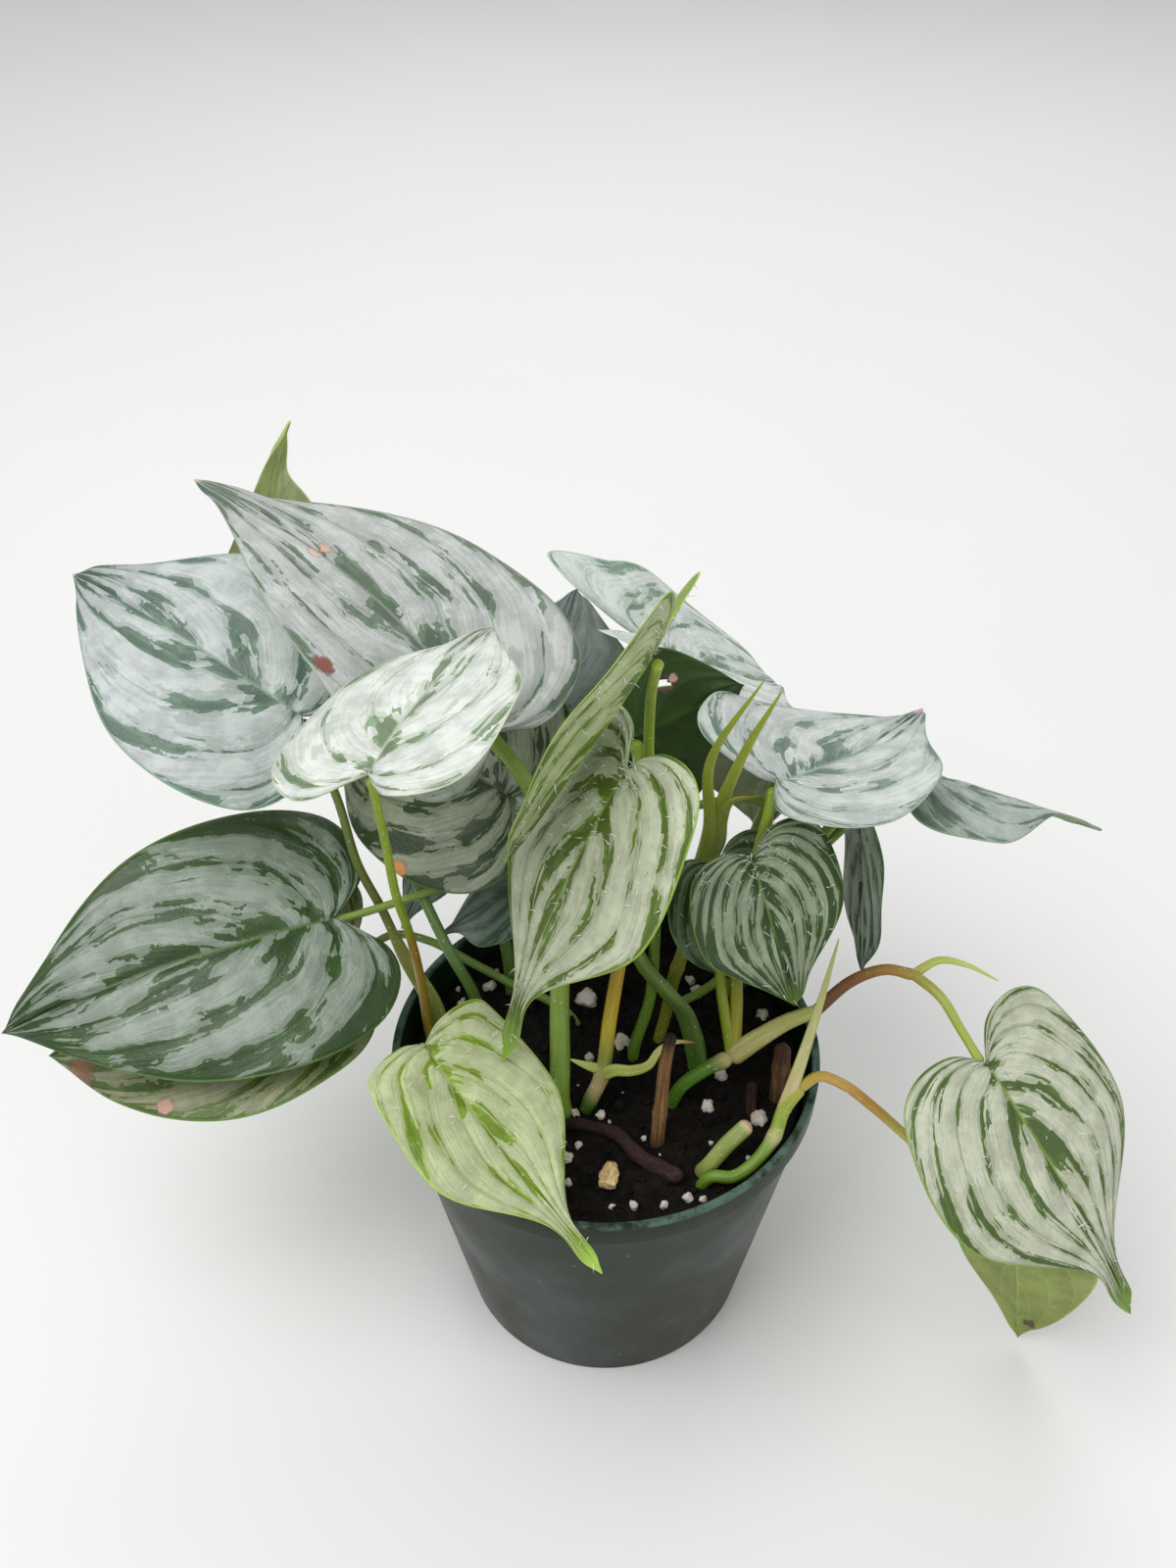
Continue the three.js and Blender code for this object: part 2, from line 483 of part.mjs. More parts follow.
function soilGeometry() {
  const { rings, sectors, wallGap, floorGap, level } = SOIL;
  const bottom = POT.floor + floorGap;
  const radiusAt = (z) => potRadius(z) - POT.wall - wallGap;
  const positions = [0, 0, soilHeight(0, 0, 0)];
  const addRing = (r, heightAt) => {
    for (let i = 0; i < sectors; i++) {
      const angle = (2 * Math.PI * i) / sectors;
      const [x, y] = [r * Math.cos(angle), r * Math.sin(angle)];
      positions.push(x, y, heightAt(x, y));
    }
  };
  for (let k = 1; k <= rings; k++) {
    const r = (radiusAt(level) * k) / rings;
    addRing(r, (x, y) => soilHeight(x, y, r));
  }
  addRing(radiusAt(bottom), () => bottom);
  positions.push(0, 0, bottom);
  const last = positions.length / 3 - 1;
  const index = [];
  for (let i = 0; i < sectors; i++) {
    const next = (i + 1) % sectors;
    index.push(0, 1 + i, 1 + next);
    for (let k = 0; k < rings; k++) {
      const [a, b] = [1 + k * sectors + i, 1 + k * sectors + next];
      index.push(a, a + sectors, b, b, a + sectors, b + sectors);
    }
    index.push(1 + rings * sectors + next, 1 + rings * sectors + i, last);
  }
  return indexedGeometry(positions, index);
}

function chipSolid(extra) {
  const [x, y, z] = CHIP.size;
  const box = new THREE.BoxGeometry(x + 2 * extra, y + 2 * extra, z + 2 * extra);
  return solidOf(box.rotateZ(CHIP.turn * RAD).translate(...CHIP.at));
}

// The soil with a plain hole for every stem and bit that stands in it or lies on it
function plantedSoil() {
  const rooted = [
    ...STEMS.map((stem) => stemSolid(stem, HOLE_SLACK)),
    ...BITS.map((bit) => bitSolid(bit, HOLE_SLACK)),
    chipSolid(HOLE_SLACK),
  ];
  const lumps = solidOf(soilGeometry()).subtract(unite(rooted)).decompose();
  return geometryOf(lumps.reduce((a, b) => (a.volume() > b.volume() ? a : b)));
}

function addPart(name, geometry, tone) {
  const mesh = new THREE.Mesh(geometry, new THREE.MeshStandardMaterial(FINISH[tone]));
  mesh.name = name;
  plant.add(mesh);
}

const plant = new THREE.Group();
addPart("pot", potGeometry(), "pot");
addPart("soil", plantedSoil(), "soil");
for (const stem of STEMS) addPart(stem.name, geometryOf(stemSolid(stem, 0)), "stem");
for (const leaf of LEAVES) addPart(leaf.name, bladeGeometry(leaf), leaf.tone);
for (const bit of BITS) addPart(bit.name, geometryOf(bitSolid(bit, 0)), bit.tone);
addPart(CHIP.name, geometryOf(chipSolid(0)), "bark");

export default plant;
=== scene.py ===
import math
import random

import bmesh
import bpy
import numpy as np
from mathutils import Euler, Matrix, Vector, noise


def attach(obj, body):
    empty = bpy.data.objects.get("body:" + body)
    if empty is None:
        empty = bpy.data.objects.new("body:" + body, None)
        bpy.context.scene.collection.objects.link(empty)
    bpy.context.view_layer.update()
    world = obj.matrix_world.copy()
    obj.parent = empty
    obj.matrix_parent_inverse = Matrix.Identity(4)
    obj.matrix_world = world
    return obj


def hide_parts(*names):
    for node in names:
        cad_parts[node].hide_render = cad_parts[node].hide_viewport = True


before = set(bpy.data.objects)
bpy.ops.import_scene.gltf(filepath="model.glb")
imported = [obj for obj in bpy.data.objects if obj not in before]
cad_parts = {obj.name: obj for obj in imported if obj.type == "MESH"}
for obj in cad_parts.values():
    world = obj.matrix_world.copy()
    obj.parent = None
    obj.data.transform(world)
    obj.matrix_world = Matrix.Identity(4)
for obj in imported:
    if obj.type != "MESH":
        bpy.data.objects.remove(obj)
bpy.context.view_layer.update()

MM = 0.001
rng = random.Random(7)

# The camera stands where the photograph was taken from
CAMERA_AT = (-4, -252, 384.5)
CAMERA_PITCH = 40.4
CAMERA_ROLL = -0.27
CAMERA_LENS = 36

# The leaves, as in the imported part: at is the notch where the stalk ends; heading, pitch and roll
# turn the midrib and the blade; bend arches the midrib, fold and cup shape each half, lobe
# lengthens the two lobes, sway curves the midrib sideways, twist turns the tip, and drip draws it out.
LEAF_KEYS = (
    "name at heading pitch roll length width bend fold cup lobe sway twist drip"
).split()
LEAVES = [
    dict(zip(LEAF_KEYS, row))
    for row in [
        ("far_left_young", (-86, 106, 133), -48, 78, 19, 75, 49, 30, 8, -9, 1, 0.04, -1, 0.55),
        ("upper_left", (-25, 22, 167), 147, 25, 6, 91, 76, 20, -2, 19, 0.5, 0.05, -7, 0.24),
        ("left", (-72, 43, 155), 146, 10, -18, 77, 66, 32, 4, -6, 0.96, -0.01, -2, 0.16),
        ("silver_middle", (-45.5, -25.5, 194.5), 69, -5, -16, 60, 48, 27, 6, -11, 0.83, 0.02, 1, 0.3),
        ("under_silver", (-22.5, 30.5, 140), 136, -11, -35, 73, 61, 19, 9, -5, 1.06, 0.03, -1, 0.23),
        ("lower_left", (-66, 17, 113), -162, -9, -24, 83, 67, 37, 5, -12, 1, 0, 11, 0),
        ("lower_left_under", (-69, 13, 98), -175, -18, -19, 77, 64, 31, 9, -3, 1.04, -0.04, 0, 0),
        ("front_lime", (-40.5, -24.5, 115), -43, -32, -16, 63, 45, 8, 6, -4, 0.32, 0.02, -8, 0.72),
        ("folded", (8.5, 1.5, 201.5), -176, -60, 32, 62, 33, -6, 17, -5, 1.94, -0.03, -5, 0.07),
        ("front_hairy", (4, 0, 174), -140, -62, 14, 76, 54, 19, 0, -18, 0.87, 0.01, 14, 0.79),
        ("small_heart", (33, 9, 140), -48, -64, 9, 40, 41, 24, 8, -4, 0.8, 0.02, -12, 0.26),
        ("behind_heart", (27, 20, 126), -54, -69, 0, 34, 38, 32, 9, -3, 1.22, 0, 0, 0.29),
        ("right", (39.5, 25, 149), 44, -10, 7, 60, 59, -10, 8, 10, 1.13, 0.03, 31, 0.29),
        ("far_right", (77.5, 39.5, 138.5), -6, -17, -24, 47.5, 40, 5, 4, -66, 1, 0.01, 14, 0.9),
        ("hanging_dark", (61, 25, 138), -77, -73, 97, 43, 34, 2, 6, -11, 1.04, -0.02, 7, 0),
        ("top", (11.5, 79.5, 150.5), 48, -38, 20, 77, 57, 10, 15, -2, 2.25, 0.08, 3, 0.22),
        ("holed", (7, 46.5, 145.5), 24, 12, -102, 31, 46, 8, 0, -12, 1, -0.02, 0, 0.12),
        ("right_front", (88, -17, 99), -41, -48, 7, 74, 63, 30, 2, -14, 0.8, 0.02, -1, 0.73),
        ("right_front_under", (98, -33.5, 58), 15, -78, -40, 57, 40, 10, 8, 5, 1, 0, 0, 0),
        ("grey_behind", (-15.5, 57.5, 141), 81, 4, 2, 56, 43, 14, 6, -6, 1, 0, 0, 0.2),
        ("under_middle", (-17.5, 21, 121), 163, -46, -20, 38, 27, 12, 6, -8, 0.5, 0, 0, 0.7),
        ("back_left", (-38, 44.5, 112.5), -131, -36, 0, 26, 17, 26, 6, -8, 0.8, 0.02, 5, 0.3),
        ("back_middle", (-13, 61, 110), 100, -28, -10, 58, 48, 24, 5, -8, 1, -0.02, -4, 0.3),
        ("back_right", (46, 56, 134), 94, -64, 4, 56, 50, 20, 6, -8, 0.5, 0.03, 6, 0.3),
    ]
]

# The outline of half a leaf from the notch to the tip: half width as a share of the widest, place
# along the midrib as a share of the length, and where its side vein leaves the midrib
OUTLINE = np.array([
    (0, 0, 0), (0.1, -0.055, 0.004), (0.3, -0.125, 0.016), (0.56, -0.135, 0.036), (0.8, -0.07, 0.07),
    (0.95, 0.06, 0.12), (1, 0.2, 0.19), (0.955, 0.36, 0.29), (0.82, 0.53, 0.42), (0.6, 0.69, 0.57),
    (0.36, 0.82, 0.72), (0.17, 0.91, 0.85), (0.055, 0.965, 0.94), (0, 1, 1),
])
DRIP_FROM = 0.55

# How each blade looks: the record's slot, the colours of its silver panels, green bands, vein lines
# and underside, the share left green (cover: the higher, the more silver), the number of hairs, the
# sweep and count of its side veins, and its dead spots, each with a place (share of the half width,
# share of the length), a radius in mm and a colour. A flipped blade shows its face below.
OLD, DARK, YOUNG = "old_leaf", "dark_leaf", "young_leaf"
LOOKS = {
    "far_left_young": dict(
        slot=YOUNG, silver="b9c48c", green="93a95a", rib="a9ba6c", under="adbb74", cover=0.7,
         tip_green=0.7),
    "upper_left": dict(
        slot=OLD, silver="babebb", green="657a64", rib="8b9786", under="8d9f6c", cover=0.58, tip="dcb8a4",
        spots=[((-0.12, 0.715), 1.7, "d8b5a2"), ((0.12, 0.715), 1.5, "d3ab96"),
                ((-0.88, 0.54), 2.4, "8a4a3a")]),
    "left": dict(
        slot=OLD, silver="bfc6c5", green="65806e", rib="8ba292", under="8d9f6c", cover=0.62, tip="e6cfcb"),
    "silver_middle": dict(
        slot=OLD, silver="d6dbd3", green="7c9470", rib="c0c4ae", under="93a667", cover=0.68, veins=4.6),
    "under_silver": dict(
        slot=OLD, silver="8f9680", green="2a421c", rib="48602f", under="7d9157", cover=0.5,
        spots=[((-0.96, 0.47), 2.2, "cf8a4e")]),
    "lower_left": dict(
        slot=DARK, silver="909c8f", green="355324", rib="58753d", under="7f9357", cover=0.5, rim=0.3),
    "lower_left_under": dict(
        slot=DARK, silver="9a9d7c", green="556e2c", rib="65843f", under="7f9357", cover=0.44,
        spots=[((-0.95, 0.8), 5, "7a5a34"), ((-0.9, 0.62), 2, "cda392")]),
    "front_lime": dict(
        slot=YOUNG, silver="c2cc9e", green="82a02e", rib="a4c452", under="a9c070", cover=0.66, hairs=60,
        sweep=(0.3, 0.2), core=0.5, tip_green=0.9),
    "folded": dict(
        slot=YOUNG, silver="b6c091", green="698637", rib="9abc4f", under="8aa84c", cover=0.56, hairs=70,
        flipped=True),
    "front_hairy": dict(
        slot=YOUNG, silver="c0c7ac", green="5f7828", rib="84a63c", under="8aa84c", cover=0.56, hairs=230,
        sweep=(0.36, 0.22), core=0.4, tip_green=0.9),
    "small_heart": dict(
        slot=DARK, silver="96a386", green="2f4f14", rib="6c8c30", under="7a9440", cover=0.44, hairs=90,
        sweep=(0.5, 0.25), veins=6.5, rim=0.15, core=0.2, tip_green=0.7),
    "behind_heart": dict(
        slot=DARK, silver="75866a", green="375424", rib="587838", under="6d8838", cover=0.44, hairs=20,
        sweep=(0.5, 0.25)),
    "right": dict(
        slot=OLD, silver="c3cac5", green="72897a", rib="9ab09e", under="8fa06a", cover=0.66,
         tip="dba9bd", tip_from=0.9),
    "far_right": dict(
        slot=OLD, silver="a8b2ab", green="687f6c", rib="8a9c84", under="94a382", cover=0.56, tip="6a4a34"),
    "hanging_dark": dict(
        slot=DARK, silver="93a28d", green="3e5b3d", rib="55734a", under="7b8d6a", cover=0.52),
    "top": dict(
        slot=OLD, silver="d2dad4", green="86a18b", rib="a9bda9", under="8fa36c", cover=0.66),
    # This leaf hangs in shadow: its dark colours, the underside most of all, are painted shade.
    "holed": dict(
        slot=DARK, silver="4f6a34", green="2c4a16", rib="7f9c4a", under="2f4c16", cover=0.2,
        hole=((0.5, 0.56), (0.055, 0.028)),
         spots=[((0.5, 0.57), 2.6, "5a443c"), ((0.56, 0.6), 1.2, "c9a598")]),
    "right_front": dict(
        slot=YOUNG, silver="c0c5ae", green="4f6a26", rib="7c9a3e", under="9ab05c", cover=0.6, hairs=80,
        sweep=(0.4, 0.24), veins=6, core=0.2, tip_green=0.9),
    "right_front_under": dict(
        slot=YOUNG, silver="9dac76", green="6a863c", rib="88a452", under="8f9d4f", cover=0.55,
        spots=[((0.62, 0.82), 1.6, "5a4a2c")]),
    # This silver leaf stands in shade behind the others: its dark grey colours are painted shade.
    "grey_behind": dict(
        slot=OLD, silver="6f7c76", green="5a6a60", rib="76877c", under="7d8d68", cover=0.5),
    "under_middle": dict(
        slot=DARK, silver="56705c", green="2c4a33", rib="46684a", under="66764c", cover=0.35, tip="6a4030"),
    "back_left": dict(
        slot=OLD, silver="6f857a", green="3d5c50", rib="5c7c6a", under="7d8f6c", cover=0.5),
    "back_middle": dict(
        slot=DARK, silver="8f9f90", green="44683f", rib="5f8350", under="7f9357", cover=0.48),
    "back_right": dict(
        slot=OLD, silver="a9b5ae", green="64856a", rib="7c9a80", under="6c7a46", cover=0.56),
}
VEIN_SWEEP = (0.26, 0.16)
VEINS_PER_LEAF = 5.4
BLADE = dict(thickness=0.5, columns=44, rows=76, quilt=0.85, rib_groove=0.45, ripple=0.7, margin_wave=0.9)


def srgb(code, alpha=1.0):
    """The linear colour of a hex code."""
    parts = [int(code[i : i + 2], 16) / 255 for i in (0, 2, 4)]
    return (*(((c + 0.055) / 1.055) ** 2.4 if c > 0.04045 else c / 12.92 for c in parts), alpha)


class Shader:
    """One material's nodes, each made and wired by a short call."""

    def __init__(self, name):
        self.material = bpy.data.materials.new(name)
        self.material.use_nodes = True
        self.tree = self.material.node_tree
        self.tree.nodes.clear()
        output = self.tree.nodes.new("ShaderNodeOutputMaterial")
        self.surface = self.tree.nodes.new("ShaderNodeBsdfPrincipled")
        self.tree.links.new(self.surface.outputs[0], output.inputs["Surface"])

    def set(self, **values):
        for name, value in values.items():
            self.put(self.surface.inputs[name.replace("_", " ")], value)

    def put(self, socket, value):
        if isinstance(value, bpy.types.NodeSocket):
            self.tree.links.new(value, socket)
        else:
            socket.default_value = value

    def node(self, kind, inputs=(), output=0, **settings):
        made = self.tree.nodes.new("ShaderNode" + kind)
        for name, value in settings.items():
            setattr(made, name, value)
        for key, value in dict(inputs).items():
            self.put(made.inputs[key], value)
        return made.outputs[output]

    def math(self, operation, *values):
        return self.node("Math", dict(enumerate(values)), operation=operation)

    def vector(self, x, y, z=0.0):
        return self.node("CombineXYZ", {0: x, 1: y, 2: z})

    def split(self, vector):
        made = self.tree.nodes.new("ShaderNodeSeparateXYZ")
        self.tree.links.new(vector, made.inputs[0])
        return made.outputs[0], made.outputs[1], made.outputs[2]

    def attribute(self, name, output="Vector"):
        return self.node("Attribute", output=output, attribute_name=name)

    def place(self):
        return self.node("TexCoord", output="Object")

    def noise(self, vector, scale=1.0, detail=2.0, roughness=0.5, distortion=0.0):
        inputs = {"Vector": vector, "Scale": scale, "Detail": detail, "Roughness": roughness,
                  "Distortion": distortion}
        return self.node("TexNoise", inputs, output="Fac")

    def smooth(self, value, low, high, start=0.0, end=1.0):
        inputs = {"Value": value, "From Min": low, "From Max": high, "To Min": start, "To Max": end}
        return self.node("MapRange", inputs, interpolation_type="SMOOTHSTEP")

    def mix(self, factor, a, b, blend="MIX"):
        made = self.tree.nodes.new("ShaderNodeMix")
        made.data_type = "RGBA"
        made.blend_type = blend
        self.put(made.inputs["Factor"], factor)
        self.put(made.inputs["A"], a)
        self.put(made.inputs["B"], b)
        return next(s for s in made.outputs if s.enabled and s.type == "RGBA")

    def bump(self, height, strength, distance):
        normal = self.node("Bump", {"Height": height, "Strength": strength, "Distance": distance})
        self.put(self.surface.inputs["Normal"], normal)



def make_piece(name, verts, faces, materials, node=None, face_material=None, attributes=None):
    """A mesh object from points in mm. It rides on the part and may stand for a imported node."""
    mesh = bpy.data.meshes.new(name)
    mesh.from_pydata([tuple(v) for v in np.asarray(verts, float) * MM], [], [tuple(f) for f in faces])
    for material in materials:
        mesh.materials.append(material)
    if face_material is not None:
        mesh.polygons.foreach_set("material_index", np.asarray(face_material, np.int32))
    mesh.polygons.foreach_set("use_smooth", np.ones(len(mesh.polygons), bool))
    for key, (kind, values) in (attributes or {}).items():
        layer = mesh.attributes.new(key, kind, "POINT")
        field = "color" if kind == "FLOAT_COLOR" else "vector"
        layer.data.foreach_set(field, np.asarray(values, np.float32).ravel())
    mesh.validate()
    mesh.update()
    piece = bpy.data.objects.new(name, mesh)
    bpy.context.scene.collection.objects.link(piece)
    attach(piece, "root")
    if node:
        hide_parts(node)
    return piece


def outline_at(t):
    """Catmull-Rom through the outline's rows, at shares t of the way from notch to tip."""
    last = len(OUTLINE) - 1
    place = np.clip(t, 0, 1) * last
    i = np.minimum(np.floor(place).astype(int), last - 1)
    u = (place - i)[..., None]
    p0, p1 = OUTLINE[np.maximum(i - 1, 0)], OUTLINE[i]
    p2, p3 = OUTLINE[i + 1], OUTLINE[np.minimum(i + 2, last)]
    curve = (2 * p1 + (p2 - p0) * u + (2 * p0 - 5 * p1 + 4 * p2 - p3) * u**2
             + (3 * p1 - p0 - 3 * p2 + p3) * u**3)
    return np.moveaxis(curve / 2, -1, 0)


def leaf_axes(leaf):
    h, p, r = (math.radians(leaf[key]) for key in ("heading", "pitch", "roll"))
    along = np.array([math.cos(h) * math.cos(p), math.sin(h) * math.cos(p), math.sin(p)])
    up = np.array([-math.cos(h) * math.sin(p), -math.sin(h) * math.sin(p), math.cos(p)])
    face = up * math.cos(r) + np.cross(along, up) * math.sin(r)
    return np.cross(along, face), along, face


def non_zero(value):
    return value if abs(value) > 1e-6 else 1e-6


def blade_points(leaf, share, t, lift):
    """Points of a blade, and their flat places in mm: across from the midrib and along it."""
    x, y, rib = outline_at(t)
    drip = np.clip((t - DRIP_FROM) / (1 - DRIP_FROM), 0, 1)
    half = leaf["width"] / 2 * x * (1 - leaf["drip"] * np.sin(math.pi * drip) ** 2)
    lobed = np.where(y < 0, y * leaf["lobe"], y)
    m = np.abs(share)
    q = m * lobed + (1 - m) * rib
    bend = non_zero(math.radians(leaf["bend"]))
    turn = bend * (0.5 - q)
    radius = leaf["length"] / bend
    forward = radius * (math.sin(bend / 2) - np.sin(turn))
    rise = radius * (np.cos(turn) - math.cos(bend / 2))
    fold = math.radians(leaf["fold"])
    curl = non_zero(math.radians(leaf["cup"]) / (leaf["width"] / 2))
    out = m * half
    flat_across = np.sign(share) * (np.sin(fold + curl * out) - math.sin(fold)) / curl
    flat_over = (math.cos(fold) - np.cos(fold + curl * out)) / curl
    twist = math.radians(leaf["twist"]) * q
    across = flat_across * np.cos(twist) - flat_over * np.sin(twist)
    across = across + leaf["sway"] * leaf["length"] * 4 * q * (1 - q)
    over = flat_across * np.sin(twist) + flat_over * np.cos(twist) + lift
    axes = leaf_axes(leaf)
    points = (
        np.array(leaf["at"])
        + across[..., None] * axes[0]
        + (forward - over * np.sin(turn))[..., None] * axes[1]
        + (rise + over * np.cos(turn))[..., None] * axes[2]
    )
    return points, np.sign(share) * out, q * leaf["length"]


def vein_phase(look, share, t):
    """Counts the side veins: a whole number on each."""
    m = np.abs(share)
    side = np.where(share > 0, 0.5, 0.0)
    first, second = look.get("sweep", VEIN_SWEEP)
    return look.get("veins", VEINS_PER_LEAF) * (t - first * m - second * m**2) + side


def blade_relief(leaf, look, share, t, seed):
    """How far the blade stands over its plain form: quilted panels, a sunk midrib, slow ripples."""
    m = np.abs(share)
    panel = np.abs(np.sin(math.pi * vein_phase(look, share, t)))
    window = np.clip(m / 0.1, 0, 1) * np.clip((0.97 - m) / 0.2, 0, 1)
    ends = np.clip(t / 0.12, 0, 1) * np.clip((1 - t) / 0.15, 0, 1)
    quilt = BLADE["quilt"] * panel**0.7 * window * ends
    groove = -BLADE["rib_groove"] * np.exp(-((m / 0.035) ** 2)) * ends
    slow = np.array([
        [noise.noise(Vector((s * 1.6, k * 3.2, seed * 3.7))) for s, k in zip(row_s, row_t)]
        for row_s, row_t in zip(share, t)
    ])
    wave = np.sin(2 * math.pi * (3.5 * t + 0.31 * seed) + 1.7 * np.sign(share)) * m**4
    size = leaf["width"] / 60
    return (quilt + groove) * size + (BLADE["ripple"] * slow + BLADE["margin_wave"] * wave) * ends * size


def build_blade(leaf, seed):
    look = LOOKS[leaf["name"]]
    columns, rows = BLADE["columns"], BLADE["rows"]
    share, t = np.meshgrid(np.linspace(-1, 1, columns + 1), np.linspace(0, 1, rows + 1))
    relief = blade_relief(leaf, look, share, t, seed)
    thin = BLADE["thickness"] / 2 * np.clip(1.15 - np.abs(share) ** 6, 0.3, 1)
    upper, across, along = blade_points(leaf, share, t, relief + thin)
    lower, _, _ = blade_points(leaf, share, t, relief - thin)

    def corner(j, i):
        if j == 0:
            return 0
        if j == rows:
            return 1 + (rows - 1) * (columns + 1)
        return 1 + (j - 1) * (columns + 1) + i

    def strip(grid):
        return np.concatenate([grid[:1, columns // 2], grid[1:-1].reshape(-1, *grid.shape[2:]),
                               grid[-1:, columns // 2]])

    count = corner(rows, 0) + 1
    kept = []
    for j in range(rows):
        for i in range(columns):
            if in_hole(look, (share[j, i] + share[j, i + 1]) / 2, (t[j, i] + t[j + 1, i]) / 2):
                continue
            cell = [corner(j, i), corner(j, i + 1), corner(j + 1, i + 1), corner(j + 1, i)]
            kept.append(list(dict.fromkeys(cell)))
    edges = {(a, b) for cell in kept for a, b in zip(cell, cell[1:] + cell[:1])}
    walls = [(b, a, a + count, b + count) for a, b in sorted(edges) if (b, a) not in edges]
    faces = kept + [[k + count for k in reversed(cell)] for cell in kept] + walls
    top, under = (1, 0) if look.get("flipped") else (0, 1)
    kinds = [top] * len(kept) + [under] * len(kept) + [2] * len(walls)
    place = np.stack([share, t, np.full_like(t, seed)], -1)
    flat = np.stack([across, along, np.full_like(t, seed * 10.0)], -1)
    materials = [blade_material(leaf, look, seed),
                 underside_material(leaf, look), margin_material(leaf, look)]
    piece = make_piece(
        "blade_" + leaf["name"],
        np.concatenate([strip(upper), strip(lower)]),
        faces,
        materials,
        node="leaf_" + leaf["name"],
        face_material=kinds,
        attributes={
            "blade_place": ("FLOAT_VECTOR", np.concatenate([strip(place)] * 2)),
            "blade_flat": ("FLOAT_VECTOR", np.concatenate([strip(flat)] * 2)),
        },
    )
    if look.get("hairs"):
        build_hairs(leaf, look, lower if look.get("flipped") else upper, share, t)
    return piece


def in_hole(look, share, t):
    if "hole" not in look:
        return False
    (at_share, at_t), (wide, long) = look["hole"]
    angle = math.atan2((t - at_t) / long, (share - at_share) / wide)
    ragged = 1 + 0.18 * math.sin(3 * angle + 1) + 0.12 * math.sin(7 * angle)
    return ((share - at_share) / wide) ** 2 + ((t - at_t) / long) ** 2 < ragged**2


def build_hairs(leaf, look, upper, share, t):
    """Short pale hairs, standing and leaning, scattered over the blade."""
    verts, faces = [], []
    rows, columns = share.shape
    for _ in range(look["hairs"] * 2):
        j = rng.randrange(3, rows - 3)
        i = rng.randrange(1, columns - 2)
        if rng.random() > outline_at(t[j, i])[0] * (1 - leaf["drip"] * t[j, i]):
            continue
        root = Vector(upper[j, i])
        side = Vector(upper[j, i + 1]) - root
        ahead = Vector(upper[j + 1, i]) - root
        normal = side.cross(ahead).normalized() * (-1 if look.get("flipped") else 1)
        lean = Vector([rng.uniform(-1, 1) for _ in range(3)]) * 1.5
        direction = (normal + lean - normal * min(0, lean.dot(normal))).normalized()
        length = rng.uniform(1.0, 2.8)
        add_spike(verts, faces, root - normal * 0.1, direction, length, rng.uniform(0.15, 0.22))
    make_piece("hairs_" + leaf["name"], verts, faces, [HAIR])


def add_spike(verts, faces, root, direction, length, radius):
    """A slim three-sided hair, closed at its foot."""
    side = direction.orthogonal().normalized()
    other = direction.cross(side)
    first = len(verts)
    for k in range(3):
        angle = 2 * math.pi * k / 3
        verts.append(root + (side * math.cos(angle) + other * math.sin(angle)) * radius)
    verts.append(root + direction * length)
    faces += [(first + 2, first + 1, first)]
    faces += [(first + k, first + (k + 1) % 3, first + 3) for k in range(3)]



def tone(colour, factor):
    """The same hue, lighter or darker."""
    return (*(min(1.0, factor * c) for c in colour[:3]), 1.0)


def phase_nodes(s, look, share, t, bend=None):
    """The count of side veins at a place, how far out it is, and how far from the nearest vein."""
    first, second = look.get("sweep", VEIN_SWEEP)
    out = s.math("ABSOLUTE", share)
    sweep = s.math("MULTIPLY", out, s.math("MULTIPLY_ADD", out, second, first))
    phase = s.math("MULTIPLY", s.math("SUBTRACT", t, sweep), look.get("veins", VEINS_PER_LEAF))
    phase = s.math("MULTIPLY_ADD", s.math("GREATER_THAN", share, 0.0), 0.5, phase)
    if bend:
        phase = s.math("ADD", phase, bend)
    away = s.math("ABSOLUTE", s.math("SUBTRACT", phase, s.math("ROUND", phase)))
    return phase, out, away


def green_share(s, look, share, t, flat, seed):
    """How green a place is: most on the veins, the midrib and the margin, in ragged patches."""
    slow = s.noise(flat, scale=0.05, detail=1)
    phase, out, away = phase_nodes(s, look, share, t, s.math("MULTIPLY_ADD", slow, 0.4, -0.2))
    wobble = s.noise(flat, scale=0.5, detail=2)
    cells = s.vector(
        s.math("MULTIPLY_ADD", phase, 7.0, wobble), s.math("MULTIPLY_ADD", out, 9.0, wobble), seed * 3.0)
    patch = s.node("TexVoronoi", {"Vector": cells, "Scale": 1.0}, output="Position")
    lot, _, _ = s.split(s.node("TexVoronoi", {"Vector": cells, "Scale": 1.0}, output="Color"))
    feather = s.noise(patch, scale=0.8, detail=3, roughness=0.6)
    broad = s.noise(flat, scale=0.09, detail=2, roughness=0.55)
    green = s.math("MULTIPLY_ADD", away, -1.5, 0.7)
    green = s.math("ADD", green, s.math("MULTIPLY_ADD", feather, 1.3, -0.65))
    green = s.math("ADD", green, s.math("MULTIPLY_ADD", broad, 1.5, -0.75))
    green = s.math("ADD", green, s.math("MULTIPLY_ADD", lot, 0.56, -0.28))
    green = s.math("MULTIPLY_ADD", out, -0.12, green)
    edge = look.get("rim", 0.12)
    bands = (
        s.smooth(out, 0.02, 0.2, 0.36, 0.0),
        s.smooth(out, 0.96 - edge, 1.0, 0.0, 0.3 + edge),
        s.smooth(t, 0.7, 0.95, 0.0, look.get("tip_green", 0.4)),
        s.smooth(s.math("MULTIPLY_ADD", out, 0.7, t), 0.05, 0.45, look.get("core", 0.0), 0.0),
    )
    for band in bands:
        green = s.math("ADD", green, band)
    return green, phase, out, away


